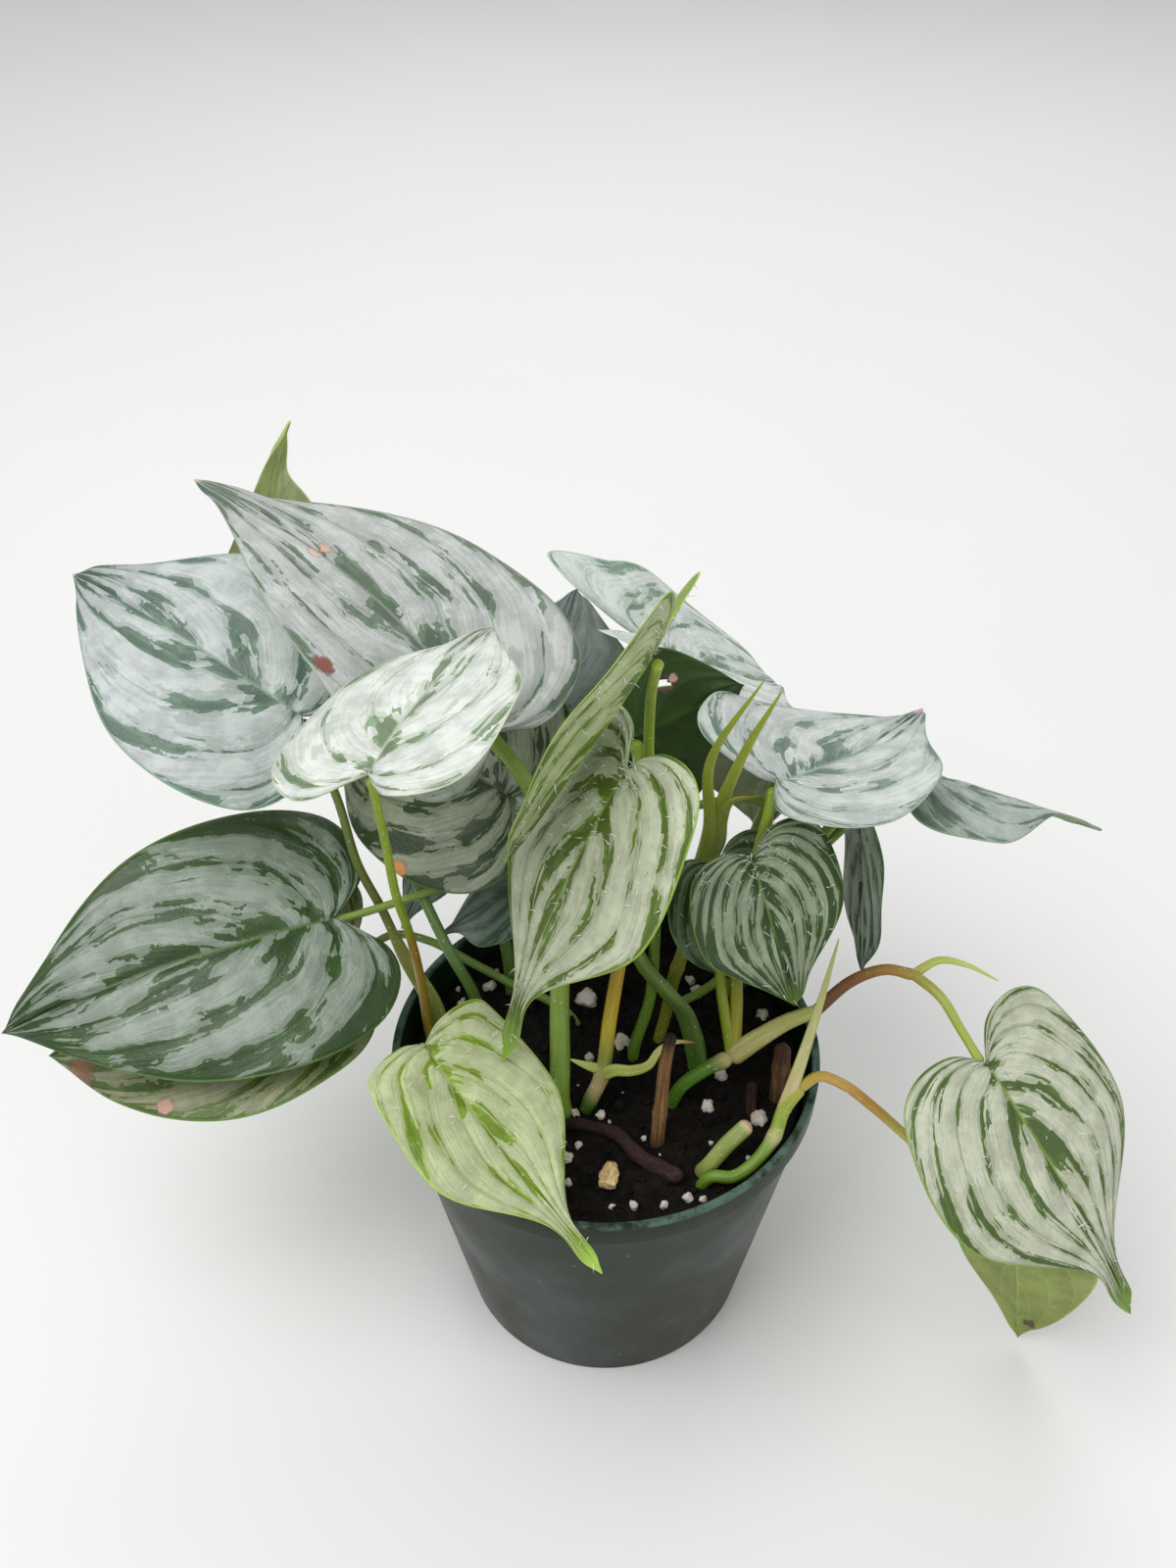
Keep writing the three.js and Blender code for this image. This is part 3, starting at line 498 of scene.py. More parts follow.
def blade_material(leaf, look, seed):
    """Silver panels between green side veins, ragged along them, with a green midrib and margin."""
    s = Shader("blade_top_" + leaf["name"])
    share, t, _ = s.split(s.attribute("blade_place"))
    flat = s.attribute("blade_flat")
    green, phase, out, away = green_share(s, look, share, t, flat, seed)
    cover = look["cover"]
    silver, dark, rib = srgb(look["silver"]), srgb(look["green"]), srgb(look["rib"])
    grey = tuple(0.5 * (a + b) for a, b in zip(silver, dark))
    shade = s.noise(flat, scale=0.16, detail=5, roughness=0.65)
    streak = s.noise(s.vector(s.math("MULTIPLY", phase, 14.0), s.math("MULTIPLY", out, 3.0), seed),
                     detail=3)
    fade = s.smooth(t, 0.7, 0.9, 1.0, 0.0)
    pale = s.math("MULTIPLY_ADD", s.math("MULTIPLY", streak, fade), 0.35, s.math("MULTIPLY", shade, 0.65))
    colour = s.mix(s.smooth(pale, 0.36, 0.62), tone(silver, 0.8), tone(silver, 1.15))
    colour = s.mix(s.smooth(green, cover - 0.26, cover - 0.22, 0.0, 0.6), colour, grey)
    mask = s.smooth(green, cover - 0.012, cover + 0.012)
    colour = s.mix(mask, colour, s.mix(s.smooth(pale, 0.36, 0.62), tone(dark, 0.8), tone(dark, 1.25)))
    colour = s.mix(s.smooth(green, cover + 0.16, cover + 0.22, 0.0, 0.7), colour, tone(dark, 0.62))
    line = s.math("MULTIPLY", s.smooth(out, 0.006, 0.022, 1.0, 0.0), s.smooth(t, 0.6, 0.95, 1.0, 0.2))
    colour = s.mix(s.math("MULTIPLY", line, 0.75), colour, rib)
    vein_line = s.math("MULTIPLY", s.smooth(away, 0.0, 0.03, 0.4, 0.0), s.smooth(out, 0.7, 0.9, 1.0, 0.0))
    colour = s.mix(vein_line, colour, tone(dark, 0.6))
    notch = s.smooth(s.math("MULTIPLY_ADD", out, 0.7, t), 0.03, 0.12, 0.9, 0.0)
    colour = s.mix(notch, colour, tone(rib, 1.2))
    # The pale margin line is partly the leaf's own pale edge and partly a painted highlight.
    colour = s.mix(s.smooth(out, 0.978, 0.99, 0.0, 0.8), colour, tone(rib, 1.3))
    colour = s.mix(s.smooth(t, 0.76, 0.95, 0.0, look.get("tip_green", 0.0)), colour, tone(rib, 1.3))
    if "tip" in look:
        tip_from = look.get("tip_from", 0.955)
        colour = s.mix(s.smooth(t, tip_from, tip_from + 0.03), colour, srgb(look["tip"]))
    for at, radius, tint in look.get("spots", ()):
        colour = dead_spot(s, colour, flat, leaf, at, radius, tint)
    roughness = s.math("MULTIPLY_ADD", mask, -0.05, s.smooth(shade, 0.2, 0.8, 0.42, 0.32))
    s.set(Base_Color=colour, Roughness=roughness, Specular_IOR_Level=0.5)
    grain = s.noise(flat, scale=1.6, detail=3, roughness=0.6)
    s.bump(s.math("MULTIPLY_ADD", s.math("MULTIPLY", streak, fade), 1.2, grain), 0.5, 0.0003)
    return s.material


def dead_spot(s, colour, flat, leaf, at, radius, tint):
    """A dry, ragged spot on the blade."""
    _, far_out, far_along = blade_points(leaf, np.array(at[:1]), np.array(at[1:]), 0.0)
    centre = (float(far_out[0]), float(far_along[0]), 0.0)
    across, along, _ = s.split(flat)
    far = s.node("VectorMath", {0: s.vector(across, along), 1: centre},
                 output="Value", operation="DISTANCE")
    ragged = s.math("MULTIPLY_ADD", s.noise(flat, scale=0.7, detail=3), radius * 1.4, radius * -0.7)
    spot = s.smooth(s.math("ADD", far, ragged), radius * 0.82, radius, 1.0, 0.0)
    rim = s.smooth(s.math("ADD", far, ragged), radius, radius * 1.3, 0.55, 0.0)
    dark = tuple(0.45 * c for c in srgb(tint)[:3]) + (1,)
    return s.mix(spot, s.mix(rim, colour, dark), srgb(tint))


def underside_material(leaf, look):
    """The plain matt underside, with raised paler veins."""
    s = Shader("blade_under_" + leaf["name"])
    share, t, _ = s.split(s.attribute("blade_place"))
    flat = s.attribute("blade_flat")
    _, out, away = phase_nodes(s, look, share, t)
    under = srgb(look["under"])
    shade = s.noise(flat, scale=0.12, detail=4, roughness=0.6)
    colour = s.mix(s.smooth(shade, 0.3, 0.7), tone(under, 0.78), tone(under, 1.15))
    vein = s.math("MAXIMUM", s.smooth(away, 0.0, 0.05, 0.5, 0.0), s.smooth(out, 0.01, 0.03, 0.8, 0.0))
    colour = s.mix(vein, colour, tone(under, 1.45))
    # The pale margin line is partly the leaf's own pale edge and partly a painted highlight.
    colour = s.mix(s.smooth(out, 0.972, 0.985), colour, tone(under, 1.45))
    for at, radius, tint in look.get("spots", ()):
        colour = dead_spot(s, colour, flat, leaf, at, radius, tint)
    s.set(Base_Color=colour, Roughness=s.smooth(shade, 0.2, 0.8, 0.62, 0.5))
    grain = s.noise(flat, scale=1.3, detail=3, roughness=0.6)
    s.bump(s.math("ADD", grain, vein), 0.4, 0.0003)
    return s.material


def margin_material(leaf, look):
    """The thin pale line round the blade: partly its own pale edge, partly a painted highlight."""
    s = Shader("blade_margin_" + leaf["name"])
    edge = tuple(min(1, 1.35 * c) for c in srgb(look["rib"])[:3]) + (1,)
    mottle = s.noise(s.attribute("blade_flat"), scale=0.5, detail=2)
    s.set(Base_Color=s.mix(mottle, edge, tuple(0.75 * c for c in edge[:3]) + (1,)), Roughness=0.5)
    return s.material


def hair_material():
    s = Shader("pale_hair")
    mottle = s.noise(s.place(), scale=300.0, detail=1)
    s.set(Base_Color=s.mix(mottle, srgb("fdfefa"), srgb("eef2e4")), Roughness=0.4)
    return s.material


HAIR = hair_material()

for number, leaf in enumerate(LEAVES):
    build_blade(leaf, number + 1)


# Each stem roots at one place in the soil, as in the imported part. A shoot runs from there, or from
# its own first point where it branches, and one with a leaf ends at that leaf's notch. tint gives
# its colours from foot to end; sheath widens its foot into a papery sheath up to a share of its
# length; spike draws its end to a point; rings are the scars of old leaves.
GREEN, LIME, OLIVE, PALE, YELLOW = "86a238", "a0b83e", "8f9448", "cfcf8e", "cbb53a"
ORANGE, BROWN, DARK_GREEN, BEIGE = "c08a2c", "6e4a2c", "527e1e", "cdb995"
STEMS = [
    ("left", (-42, 8), [
        dict(leaf="silver_middle", r=(1.2, 0.9), hairs=50,
             p=[(-44, 7, 82), (-45, 8, 102), (-46, 5, 120), (-47, -1, 138), (-47, -7, 160)],
             tint=[(0, GREEN), (0.12, "a08a34"), (0.38, "a5802e"), (0.45, "93aa38"), (1, LIME)]),
        dict(leaf="left", r=(1.3, 1), sheath=(0.42, 1.5),
             p=[(-43, 12, 86), (-50, 19, 97), (-55, 23, 110), (-60, 25, 124), (-64, 31, 140)],
             tint=[(0, OLIVE), (0.35, OLIVE), (0.5, "6f7c40"), (1, "5f7434")]),
        dict(leaf="lower_left", r=(1.3, 1), p=[(31, 25, 84), (36, 38, 102), (41, 48, 122)],
             tint=[(0, GREEN), (1, "86a04e")]),
        dict(leaf="front_lime", r=(1.4, 1.1), p=[(-38, -5, 77), (-36, -8, 86), (-38, -10, 94)],
             tint=[(0, GREEN), (1, LIME)]),
    ]),
    ("low_left", (-3, 9), [
        dict(leaf="lower_left_under", r=(1.2, 1),
             p=[(-9, 14, 81), (-25, 21, 86), (-34, 23, 91), (-45, 26, 96), (-54, 27, 97), (-63, 21, 95)],
             tint=[(0, "6d8c46"), (1, "7f9a58")]),
    ]),
    ("far_left", (-31, 14), [
        dict(leaf="far_left_young", r=(1.5, 1),
             p=[(-32, 14, 84), (-34, 13, 94), (-38, 14, 104), (-45, 25, 113),
                (-57, 52, 118), (-72, 80, 121)],
             tint=[(0, "6a8a4a"), (0.4, "5f7f45"), (1, "8fa455")]),
    ]),
    ("under_silver", (-24, 24), [
        dict(leaf="under_silver", r=(1.7, 1.3), p=[(-25, 28, 88), (-29, 38, 106), (-28, 39, 126)],
             tint=[(0, "64843f"), (1, "7b9560")]),
    ]),
    ("middle", (-7, -12), [
        dict(leaf="upper_left", r=(2.7, 1.7),
             p=[(-11, -14, 80), (-11, -9, 91), (-11, 0, 104), (-10, 14, 122),
                (-16, 25, 142), (-20, 24, 154)],
             tint=[(0, "7f9e40"), (0.5, "8fae52"), (1, "98b060")]),
        dict(leaf="front_hairy", r=(2, 1.1), rings=[0.2],
             p=[(-4, -13, 80), (-1, -11, 88), (1, -5, 102), (5, 6, 124), (8, 15, 146), (7, 15, 158)],
             tint=[(0, "4f7a28"), (0.13, "4f7a28"), (0.17, BEIGE), (0.24, OLIVE), (0.3, YELLOW),
                   (0.48, ORANGE), (0.7, YELLOW), (1, LIME)]),
        dict(branch=True, r=(1.6, 0.6), spike=True,
             p=[(-1, -12, 89), (2, -13, 92), (6, -14, 93), (10, -14, 95), (12.5, -12, 98),
                (16, -10.5, 99), (21, -10.5, 99)],
             tint=[(0, "a9b85e"), (0.45, "b5c070"), (0.8, PALE), (0.93, "b08a5c"), (1, BROWN)]),
        dict(branch=True, r=(1.3, 0.5), spike=True, p=[(-1.5, -11, 90), (-5, -10.5, 91), (-8.6, -9.6, 92)],
             tint=[(0, "a9b85e"), (0.6, "b5c070"), (1, PALE)]),
    ]),
    ("centre", (10, 5), [
        dict(leaf="folded", r=(1.5, 1.1),
             p=[(7, 2, 80), (11, 7, 95), (12, 13, 110), (12, 21, 132), (10, 24, 156), (9.7, 20, 176)],
             tint=[(0, "5f8a2c"), (0.35, "77922e"), (1, LIME)]),
        dict(r=(1.3, 1.9), p=[(15, 10, 84), (17, 13, 95), (20, 16, 106), (23, 23, 118), (23.5, 27, 123)],
             rings=[0.55, 0.9], tint=[(0, "8a9a30"), (0.6, "a3a23a"), (1, LIME)]),
        dict(leaf="holed", r=(2.3, 1.4), sheath=(0.55, 0.9),
             p=[(22, -1, 78), (20, 5, 90), (15, 6, 98), (9, 9, 105), (6, 14, 112), (6, 22, 120),
                (9, 34, 132)],
             tint=[(0, DARK_GREEN), (0.2, "557d33"), (0.4, "7f9a55"), (1, GREEN)]),
        dict(leaf="behind_heart", branch=True, r=(1.2, 1), p=[(23, 26, 118), (25, 25, 122)],
             tint=[(0, GREEN), (1, LIME)]),
        dict(branch=True, r=(1.9, 0.5), spike=True,
             p=[(23, 26, 119), (25, 26, 134), (24, 24, 156), (34, 20, 182)],
             tint=[(0, "a9b85e"), (0.5, "a2b144"), (1, "b7c04a")]),
        dict(branch=True, r=(2.1, 0.5), spike=True,
             p=[(24, 27, 119), (26, 27, 134), (31, 24, 157), (38, 18, 181)],
             tint=[(0, "b4bf6c"), (0.5, "abb84c"), (1, "bcc552")]),
        dict(branch=True, r=(1.9, 0.5), spike=True,
             p=[(24, 27, 120), (27.5, 27.5, 128), (28, 26, 137), (29.5, 23, 145), (35.5, 19, 150)],
             tint=[(0, "b07a50"), (0.08, "bcc388"), (0.8, "b3bf62"), (1, "9a7040")]),
    ]),
    ("front_right", (13, -12), [
        dict(r=(1.4, 1.8), p=[(16, -13, 80), (18, -12.5, 85), (23, -11, 89), (30, -9.5, 92.5)],
             rings=[0.93],
             tint=[(0, DARK_GREEN), (0.85, "568326"), (1, BEIGE)]),
        dict(branch=True, r=(2.2, 1.5), p=[(29, -9.5, 92), (36, -7, 96), (43, -3.6, 98), (51.5, -0.4, 99)],
             sheath=(0.9, 0.25),
             tint=[(0, "a99a70"), (0.2, "b3ae72"), (0.7, "b0b070"), (1, "a8b060")]),
        dict(branch=True, r=(1.5, 1.3), rings=[0.95],
             p=[(50, -1, 98.5), (59, 4, 104), (67, 5, 107), (74, 3, 107)],
             tint=[(0, "5f3a22"), (0.45, "7d5228"), (0.8, "a57f3c"), (1, "b09a4c")]),
        dict(leaf="right_front", branch=True, r=(1.3, 1), p=[(73, 4, 107), (79, -3, 106), (83, -9, 102)],
             tint=[(0, "a8984a"), (0.35, "b3ba62"), (1, "b5c75c")]),
        dict(branch=True, r=(1.1, 0.4), spike=True,
             p=[(73, 3, 107), (80, 6, 109), (87, 5, 108), (94, 3, 105)],
             tint=[(0, "b0a04c"), (0.25, "c2cc6a"), (1, "d5dc9a")]),
        dict(leaf="small_heart", branch=True, r=(1.4, 1),
             p=[(30, -9, 92), (27, 1, 110), (27, 7, 124), (29, 10, 133)],
             tint=[(0, "8a9a2c"), (0.5, "8a9a2c"), (1, LIME)]),
        dict(leaf="right", branch=True, r=(1.7, 1.2),
             p=[(30.5, -8.5, 92.5), (31, -2, 102), (31, 8, 118), (35, 15, 134), (37, 18, 142)],
             tint=[(0, "9a962e"), (0.5, "9a962e"), (1, LIME)]),
    ]),
    ("front_rim", (20, -33), [
        dict(r=(1.4, 1.7),
             p=[(24, -35, 80.5), (29, -35.4, 81), (34, -33, 83), (38.6, -28.8, 87.3),
                (41, -24.5, 92), (45, -21.5, 96.5)],
             rings=[0.72],
             tint=[(0, "6b8f2c"), (0.65, "7fa03c"), (0.72, "c9c09a"), (0.78, "93b040"), (1, "b5b050")]),
        dict(leaf="right_front_under", branch=True, r=(1.3, 1),
             p=[(44.5, -22, 96), (49, -20, 98), (55, -21, 96), (62, -23.5, 91),
                (72, -28, 83), (80, -32, 77), (90, -35, 67)],
             tint=[(0, "b5a848"), (0.1, "c9a25a"), (0.25, "bd8a42"), (0.4, "c3b468"), (1, "c0c47c")]),
        dict(branch=True, r=(1.7, 0.5), spike=True,
             p=[(40.5, -25.5, 91), (44, -20, 100), (48.7, -11.3, 112), (53, -3, 126)],
             tint=[(0, BEIGE), (0.3, "c6c294"), (1, "a9ad74")]),
    ]),
    ("back_right", (30, 22), [
        dict(leaf="far_right", r=(1.7, 1.2), p=[(32, 24, 84), (44, 35, 103), (59, 45, 119), (70, 45, 131)],
             tint=[(0, GREEN), (1, "6f8a45")]),
        dict(leaf="hanging_dark", r=(1.6, 1.2),
             p=[(32, 24, 84), (45, 37, 101), (63, 47, 117), (71, 40, 133), (67, 30, 141)],
             tint=[(0, GREEN), (1, "5f7a40")]),
        dict(leaf="back_right", r=(1.6, 1.2), p=[(31, 25, 84), (34, 36, 94), (38, 50, 104)],
             tint=[(0, GREEN), (1, "7c964f")]),
    ]),
    ("back", (4, 30), [
        dict(leaf="top", r=(1.6, 1.1), p=[(4, 34, 86), (3, 48, 106), (6, 64, 126), (9, 73, 142)],
             tint=[(0, GREEN), (1, LIME)]),
        dict(leaf="grey_behind", r=(1.3, 1), p=[(1, 34, 84), (-5, 43, 104), (-12, 51, 126)],
             tint=[(0, GREEN), (1, "6f8a45")]),
        dict(leaf="back_middle", r=(1.3, 1), p=[(2, 33, 84), (-4, 42, 94), (-10, 54, 103)],
             tint=[(0, GREEN), (1, "7c964f")]),
    ]),
    ("back_left", (-19, 34), [
        dict(leaf="under_middle", r=(1.5, 1.1), p=[(-20, 34, 84), (-20, 32, 98), (-19, 27, 112)],
             tint=[(0, GREEN), (1, "6b7a4c")]),
        dict(leaf="back_left", r=(1.6, 1.2), p=[(-22, 36, 84), (-28, 41, 97), (-34, 43.5, 107)],
             tint=[(0, GREEN), (1, "7c964f")]),
    ]),
]
SOIL_LEVEL = 77
ROOT_DEPTH = 12
TUBE = dict(sides=16, step=1.1, facing=(0, -0.65, 0.76))
BLADE_GAP = 0.35 + 0.8 / 2


def smooth_path(points, spacing):
    """Evenly spaced points on a centripetal Catmull-Rom curve through the given points."""
    p = [np.array(q, float) for q in points]
    p = [2 * p[0] - p[1], *p, 2 * p[-1] - p[-2]]
    dense = [p[1]]
    for p0, p1, p2, p3 in zip(p, p[1:], p[2:], p[3:]):
        d0, d1, d2 = (max(np.linalg.norm(b - a), 1e-6) ** 0.5 for a, b in ((p0, p1), (p1, p2), (p2, p3)))
        m1 = ((p1 - p0) / d0 - (p2 - p0) / (d0 + d1) + (p2 - p1) / d1) * d1
        m2 = ((p2 - p1) / d1 - (p3 - p1) / (d1 + d2) + (p3 - p2) / d2) * d1
        for u in np.linspace(0, 1, 25)[1:]:
            cubic = ((2 * p1 - 2 * p2 + m1 + m2) * u**3 + (3 * p2 - 3 * p1 - 2 * m1 - m2) * u**2
                     + m1 * u + p1)
            dense.append(cubic)
    dense = np.array(dense)
    reach = np.concatenate([[0], np.cumsum(np.linalg.norm(np.diff(dense, axis=0), axis=1))])
    places = np.linspace(0, reach[-1], max(4, round(reach[-1] / spacing)) + 1)
    return np.stack([np.interp(places, reach, dense[:, k]) for k in range(3)], 1), places


def stalk_path(root, shoot):
    points = [np.array(q, float) for q in shoot["p"]]
    if not shoot.get("branch"):
        points.insert(0, np.array([*root, SOIL_LEVEL - ROOT_DEPTH], float))
    if "leaf" in shoot:
        leaf = next(leaf for leaf in LEAVES if leaf["name"] == shoot["leaf"])
        _, along, face = leaf_axes(leaf)
        tilt = math.radians(leaf["bend"]) / 2
        normal = face * math.cos(tilt) - along * math.sin(tilt)
        notch = np.array(leaf["at"], float)
        aim = (notch - points[-1]) / np.linalg.norm(notch - points[-1])
        reach = shoot["r"][1] * math.sqrt(max(0, 1 - aim.dot(normal) ** 2))
        points.append(notch - normal * (BLADE_GAP + reach))
    return points


def stalk_radius(shoot, places):
    """The radius at each place: an even taper, swollen at rings and under the blade, round ends."""
    length = places[-1]
    share = places / length
    foot, end = shoot["r"]
    if shoot.get("spike"):
        radius = foot * np.clip(1 - share, 0, 1) ** 0.75 + 0.12
    else:
        radius = foot + (end - foot) * share
    for ring in shoot.get("rings", ()):
        radius = radius * (1 + 0.16 * np.exp(-(((share - ring) * length / 1.3) ** 2)))
    if "leaf" in shoot:
        radius = radius * (1 + 0.22 * np.exp(-(((share - 1) * length / 3.0) ** 2)))
    for away in (places, length - places):
        cap = np.clip(away / np.maximum(radius, 0.2), 0, 1)
        radius = radius * np.sqrt(np.clip(1 - (1 - cap) ** 2, 0.03, 1))
    return radius


def ring_places(places, length, radius):
    """Extra rings near both ends, so that they round off."""
    ends = [radius * k for k in (0.06, 0.2, 0.45, 0.75)]
    return np.unique(np.concatenate([places, ends, [length - e for e in ends]]))


def tube(points, shoot, seed):
    """A closed stalk: its points, faces, colours and grain places."""
    path, places = smooth_path(points, TUBE["step"])
    rings = ring_places(places, places[-1], max(shoot["r"]))
    path = np.stack([np.interp(rings, places, path[:, k]) for k in range(3)], 1)
    radius = stalk_radius(shoot, rings)
    share = rings / rings[-1]
    tangent = np.gradient(path, rings, axis=0)
    tangent /= np.linalg.norm(tangent, axis=1)[:, None]
    until, widen = shoot.get("sheath", (0, 0))
    wide = 1 + widen * np.clip(1 - share / max(until, 1e-6), 0, 1) ** 0.6 if until else np.ones_like(share)
    thin = np.full_like(share, 0.55 if shoot.get("spike") else 1.0) * wide**-0.4
    sides = TUBE["sides"]
    angle = np.linspace(0, 2 * math.pi, sides, endpoint=False)
    normal = np.array(TUBE["facing"], float)
    verts, colours, grain = [], [], []
    stops = np.array([s for s, _ in shoot["tint"]])
    tints = np.array([srgb(code) for _, code in shoot["tint"]])
    for k, (centre, t, r) in enumerate(zip(path, tangent, radius)):
        normal = normal - t * normal.dot(t)
        normal = normal / np.linalg.norm(normal)
        other = np.cross(t, normal)
        for a in angle:
            ridge = 1 + 0.03 * math.sin(5 * a + seed)
            groove = 0.28 * math.exp(-(((a + math.pi) % (2 * math.pi) - math.pi) / 0.6) ** 2)
            depth = thin[k] * (1 - (groove if shoot.get("spike") or until > share[k] else 0))
            verts.append(centre
                         + r * ridge * (normal * math.cos(a) * depth + other * math.sin(a) * wide[k]))
            grain.append((a, rings[k], seed))
            colours.append([np.interp(share[k], stops, tints[:, c]) for c in range(4)])
    faces = []
    for k in range(len(path) - 1):
        for i in range(sides):
            a, b = k * sides + i, k * sides + (i + 1) % sides
            faces.append((a, b, b + sides, a + sides))
    faces.append(tuple(reversed(range(sides))))
    faces.append(tuple(range((len(path) - 1) * sides, len(path) * sides)))
    return np.array(verts), faces, colours, grain


def build_tubes(name, shoots, material, node):
    verts, faces, colours, grain = [], [], [], []
    hair_verts, hair_faces = [], []
    count = 0
    for seed, (points, shoot) in enumerate(shoots):
        v, f, c, g = tube(points, shoot, seed + len(name))
        verts.append(v)
        faces += [tuple(k + count for k in face) for face in f]
        colours += c
        grain += g
        count += len(v)
        for _ in range(shoot.get("hairs", 0)):
            k = rng.randrange(len(v) // 3, len(v) - 40)
            ring = k // TUBE["sides"] * TUBE["sides"]
            centre = Vector(v[ring : ring + TUBE["sides"]].mean(0))
            out = (Vector(v[k]) - centre).normalized()
            add_spike(hair_verts, hair_faces, Vector(v[k]) - out * 0.1, out, rng.uniform(0.4, 1.0), 0.09)
    attributes = {"tint": ("FLOAT_COLOR", colours), "grain": ("FLOAT_VECTOR", grain)}
    make_piece(name, np.concatenate(verts), faces, [material], node=node, attributes=attributes)
    if hair_verts:
        make_piece(name + "_hairs", hair_verts, hair_faces, [HAIR])


def stalk_material():
    """Fresh stalks: the tint along each, fine lengthwise streaks, small pale dots and a soft gloss."""
    s = Shader("stalk")
    around, along, seed = s.split(s.attribute("grain"))
    tint = s.attribute("tint", "Color")
    streak = s.noise(s.vector(s.math("MULTIPLY", around, 1.6), s.math("MULTIPLY", along, 0.07), seed),
                     scale=2.2, detail=4)
    blotch = s.noise(s.place(), scale=160.0, detail=3, roughness=0.6)
    colour = s.mix(s.smooth(streak, 0.3, 0.7), tint, (0.78, 0.8, 0.45, 1), blend="MULTIPLY")
    colour = s.mix(s.smooth(blotch, 0.35, 0.7, 0.0, 0.35), colour, (0.84, 0.86, 0.5, 1), blend="MULTIPLY")
    dots = s.node("TexVoronoi", {"Vector": s.place(), "Scale": 520.0}, output="Distance")
    colour = s.mix(s.smooth(dots, 0.1, 0.16, 0.45, 0.0), colour, srgb("e4ead0"))
    s.set(Base_Color=colour, Roughness=s.smooth(blotch, 0.2, 0.8, 0.36, 0.5), Specular_IOR_Level=0.5)
    s.bump(s.math("ADD", streak, s.math("MULTIPLY", blotch, 0.4)), 0.45, 0.0003)
    return s.material


def woody_material(name, split, rough):
    """Dry or corky surfaces: the tint along each bit, darker cracks, and fibres along it."""
    s = Shader(name)
    around, along, seed = s.split(s.attribute("grain"))
    tint = s.attribute("tint", "Color")
    fibre = s.noise(s.vector(s.math("MULTIPLY", around, 2.4), s.math("MULTIPLY", along, split), seed),
                    scale=1.8, detail=6, roughness=0.7)
    patch = s.noise(s.place(), scale=220.0, detail=4, roughness=0.65)
    colour = s.mix(s.smooth(fibre, 0.35, 0.62, 0.0, 0.9), tint, (0.34, 0.28, 0.22, 1), blend="MULTIPLY")
    colour = s.mix(s.smooth(patch, 0.45, 0.75, 0.0, 0.5), colour, (0.4, 0.34, 0.3, 1), blend="MULTIPLY")
    s.set(Base_Color=colour, Roughness=rough, Specular_IOR_Level=0.3)
    s.bump(s.math("ADD", fibre, patch), 0.9, 0.0006)
    return s.material


STALK = stalk_material()
for name, root, shoots in STEMS:
    build_tubes("stalks_" + name, [(stalk_path(root, shoot), shoot) for shoot in shoots],
                STALK, "stem_" + name)

# Woody and dry bits on and in the soil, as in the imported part
BITS = [
    ("rhizome", "wood", (1, 2),
     [(-10, -18, 66), (-9, -18, 78), (-3.6, -20.5, 80.3), (2.4, -22.7, 80.3), (8, -28.9, 79.6),
      (17.5, -34.2, 78.6)],
     [(0, "4a3230"), (0.5, "3c2a2a"), (1, "52393a")], [0.35, 0.55, 0.72, 0.85]),
    ("stub_cut_green", "stem", (1.8, 2),
     [(19, -27, 68), (23.5, -31, 79), (27.5, -29, 84), (33.2, -26.2, 89)],
     [(0, "5c4a2c"), (0.5, "a3b068"), (0.92, "9fb070"), (0.97, "e4ccbc"), (1, "c0988a")], []),
    ("stub_dry_tall", "dry", (1.8, 1.4),
     [(12, -22, 67), (12.2, -22, 80), (12.9, -19.4, 90), (13.6, -17.4, 100), (15, -14.5, 107)],
     [(0, "7a5a3a"), (0.5, "b48c58"), (0.85, "b48c5c"), (0.95, "4a3a30"), (1, "2a2422")], [0.45]),
    ("stub_dry_right", "dry", (2.4, 2),
     [(42, -10, 68), (42.2, -9, 80), (42.4, -7.3, 88), (42.4, -6.8, 93.5)],
     [(0, "5a4030"), (0.6, "94714e"), (1, "5a4030")], [0.7]),
    ("stub_dry_short", "dry", (1.5, 1.2), [(35, -15, 68), (35, -14, 78), (35, -12, 86)],
     [(0, "4a2e26"), (0.7, "5f3c34"), (1, "3a2824")], []),
]
WOODY = woody_material("corky_wood", 0.35, 0.85)
FIBROUS = woody_material("dry_fibre", 0.06, 0.8)
for name, slot, radius, points, tint, rings in BITS:
    material = {"wood": WOODY, "dry": FIBROUS, "stem": STALK}[slot]
    shoot = dict(r=radius, tint=tint, rings=rings)
    build_tubes(name + "_fine", [([np.array(p, float) for p in points], shoot)], material, name)


POT = dict(height=86, rim=52.5, foot=37.5, wall=1.5, floor=2, lip=7, lip_step=1.6, edge=0.6)
DRAINS = dict(count=6, radius=4, ring=27)
SOIL = dict(crown=1.6, ripple=0.8, rings=72, sectors=200, wall_gap=0.5, floor_gap=0.3)
PERLITE = [
    (24.5, -13.5, 3.4), (37, -16.5, 4.2), (18.5, -39.5, 2.4), (22, -39.5, 2), (13, -41, 2.2), (6, -40.5, 2.4),
    (1, -41.5, 1.6), (-9.5, -28, 3), (-6.5, -24, 2), (-1.5, -17, 2.6), (-7.5, -15, 2.2),
    (4, 6, 4), (-4, 2, 2.6),
    (-4.5, 20.5, 5.4), (24, 23.5, 3.6), (22.5, 28, 3), (40.5, 16.5, 3.8), (28.5, -3.5, 3.6), (-9, -34.5, 2),
    (-30, 26.5, 3.6), (-37, 21.5, 3),
]


def pot_radius(z):
    return POT["foot"] + (POT["rim"] - POT["lip_step"] - POT["foot"]) * z / (POT["height"] - POT["lip"])


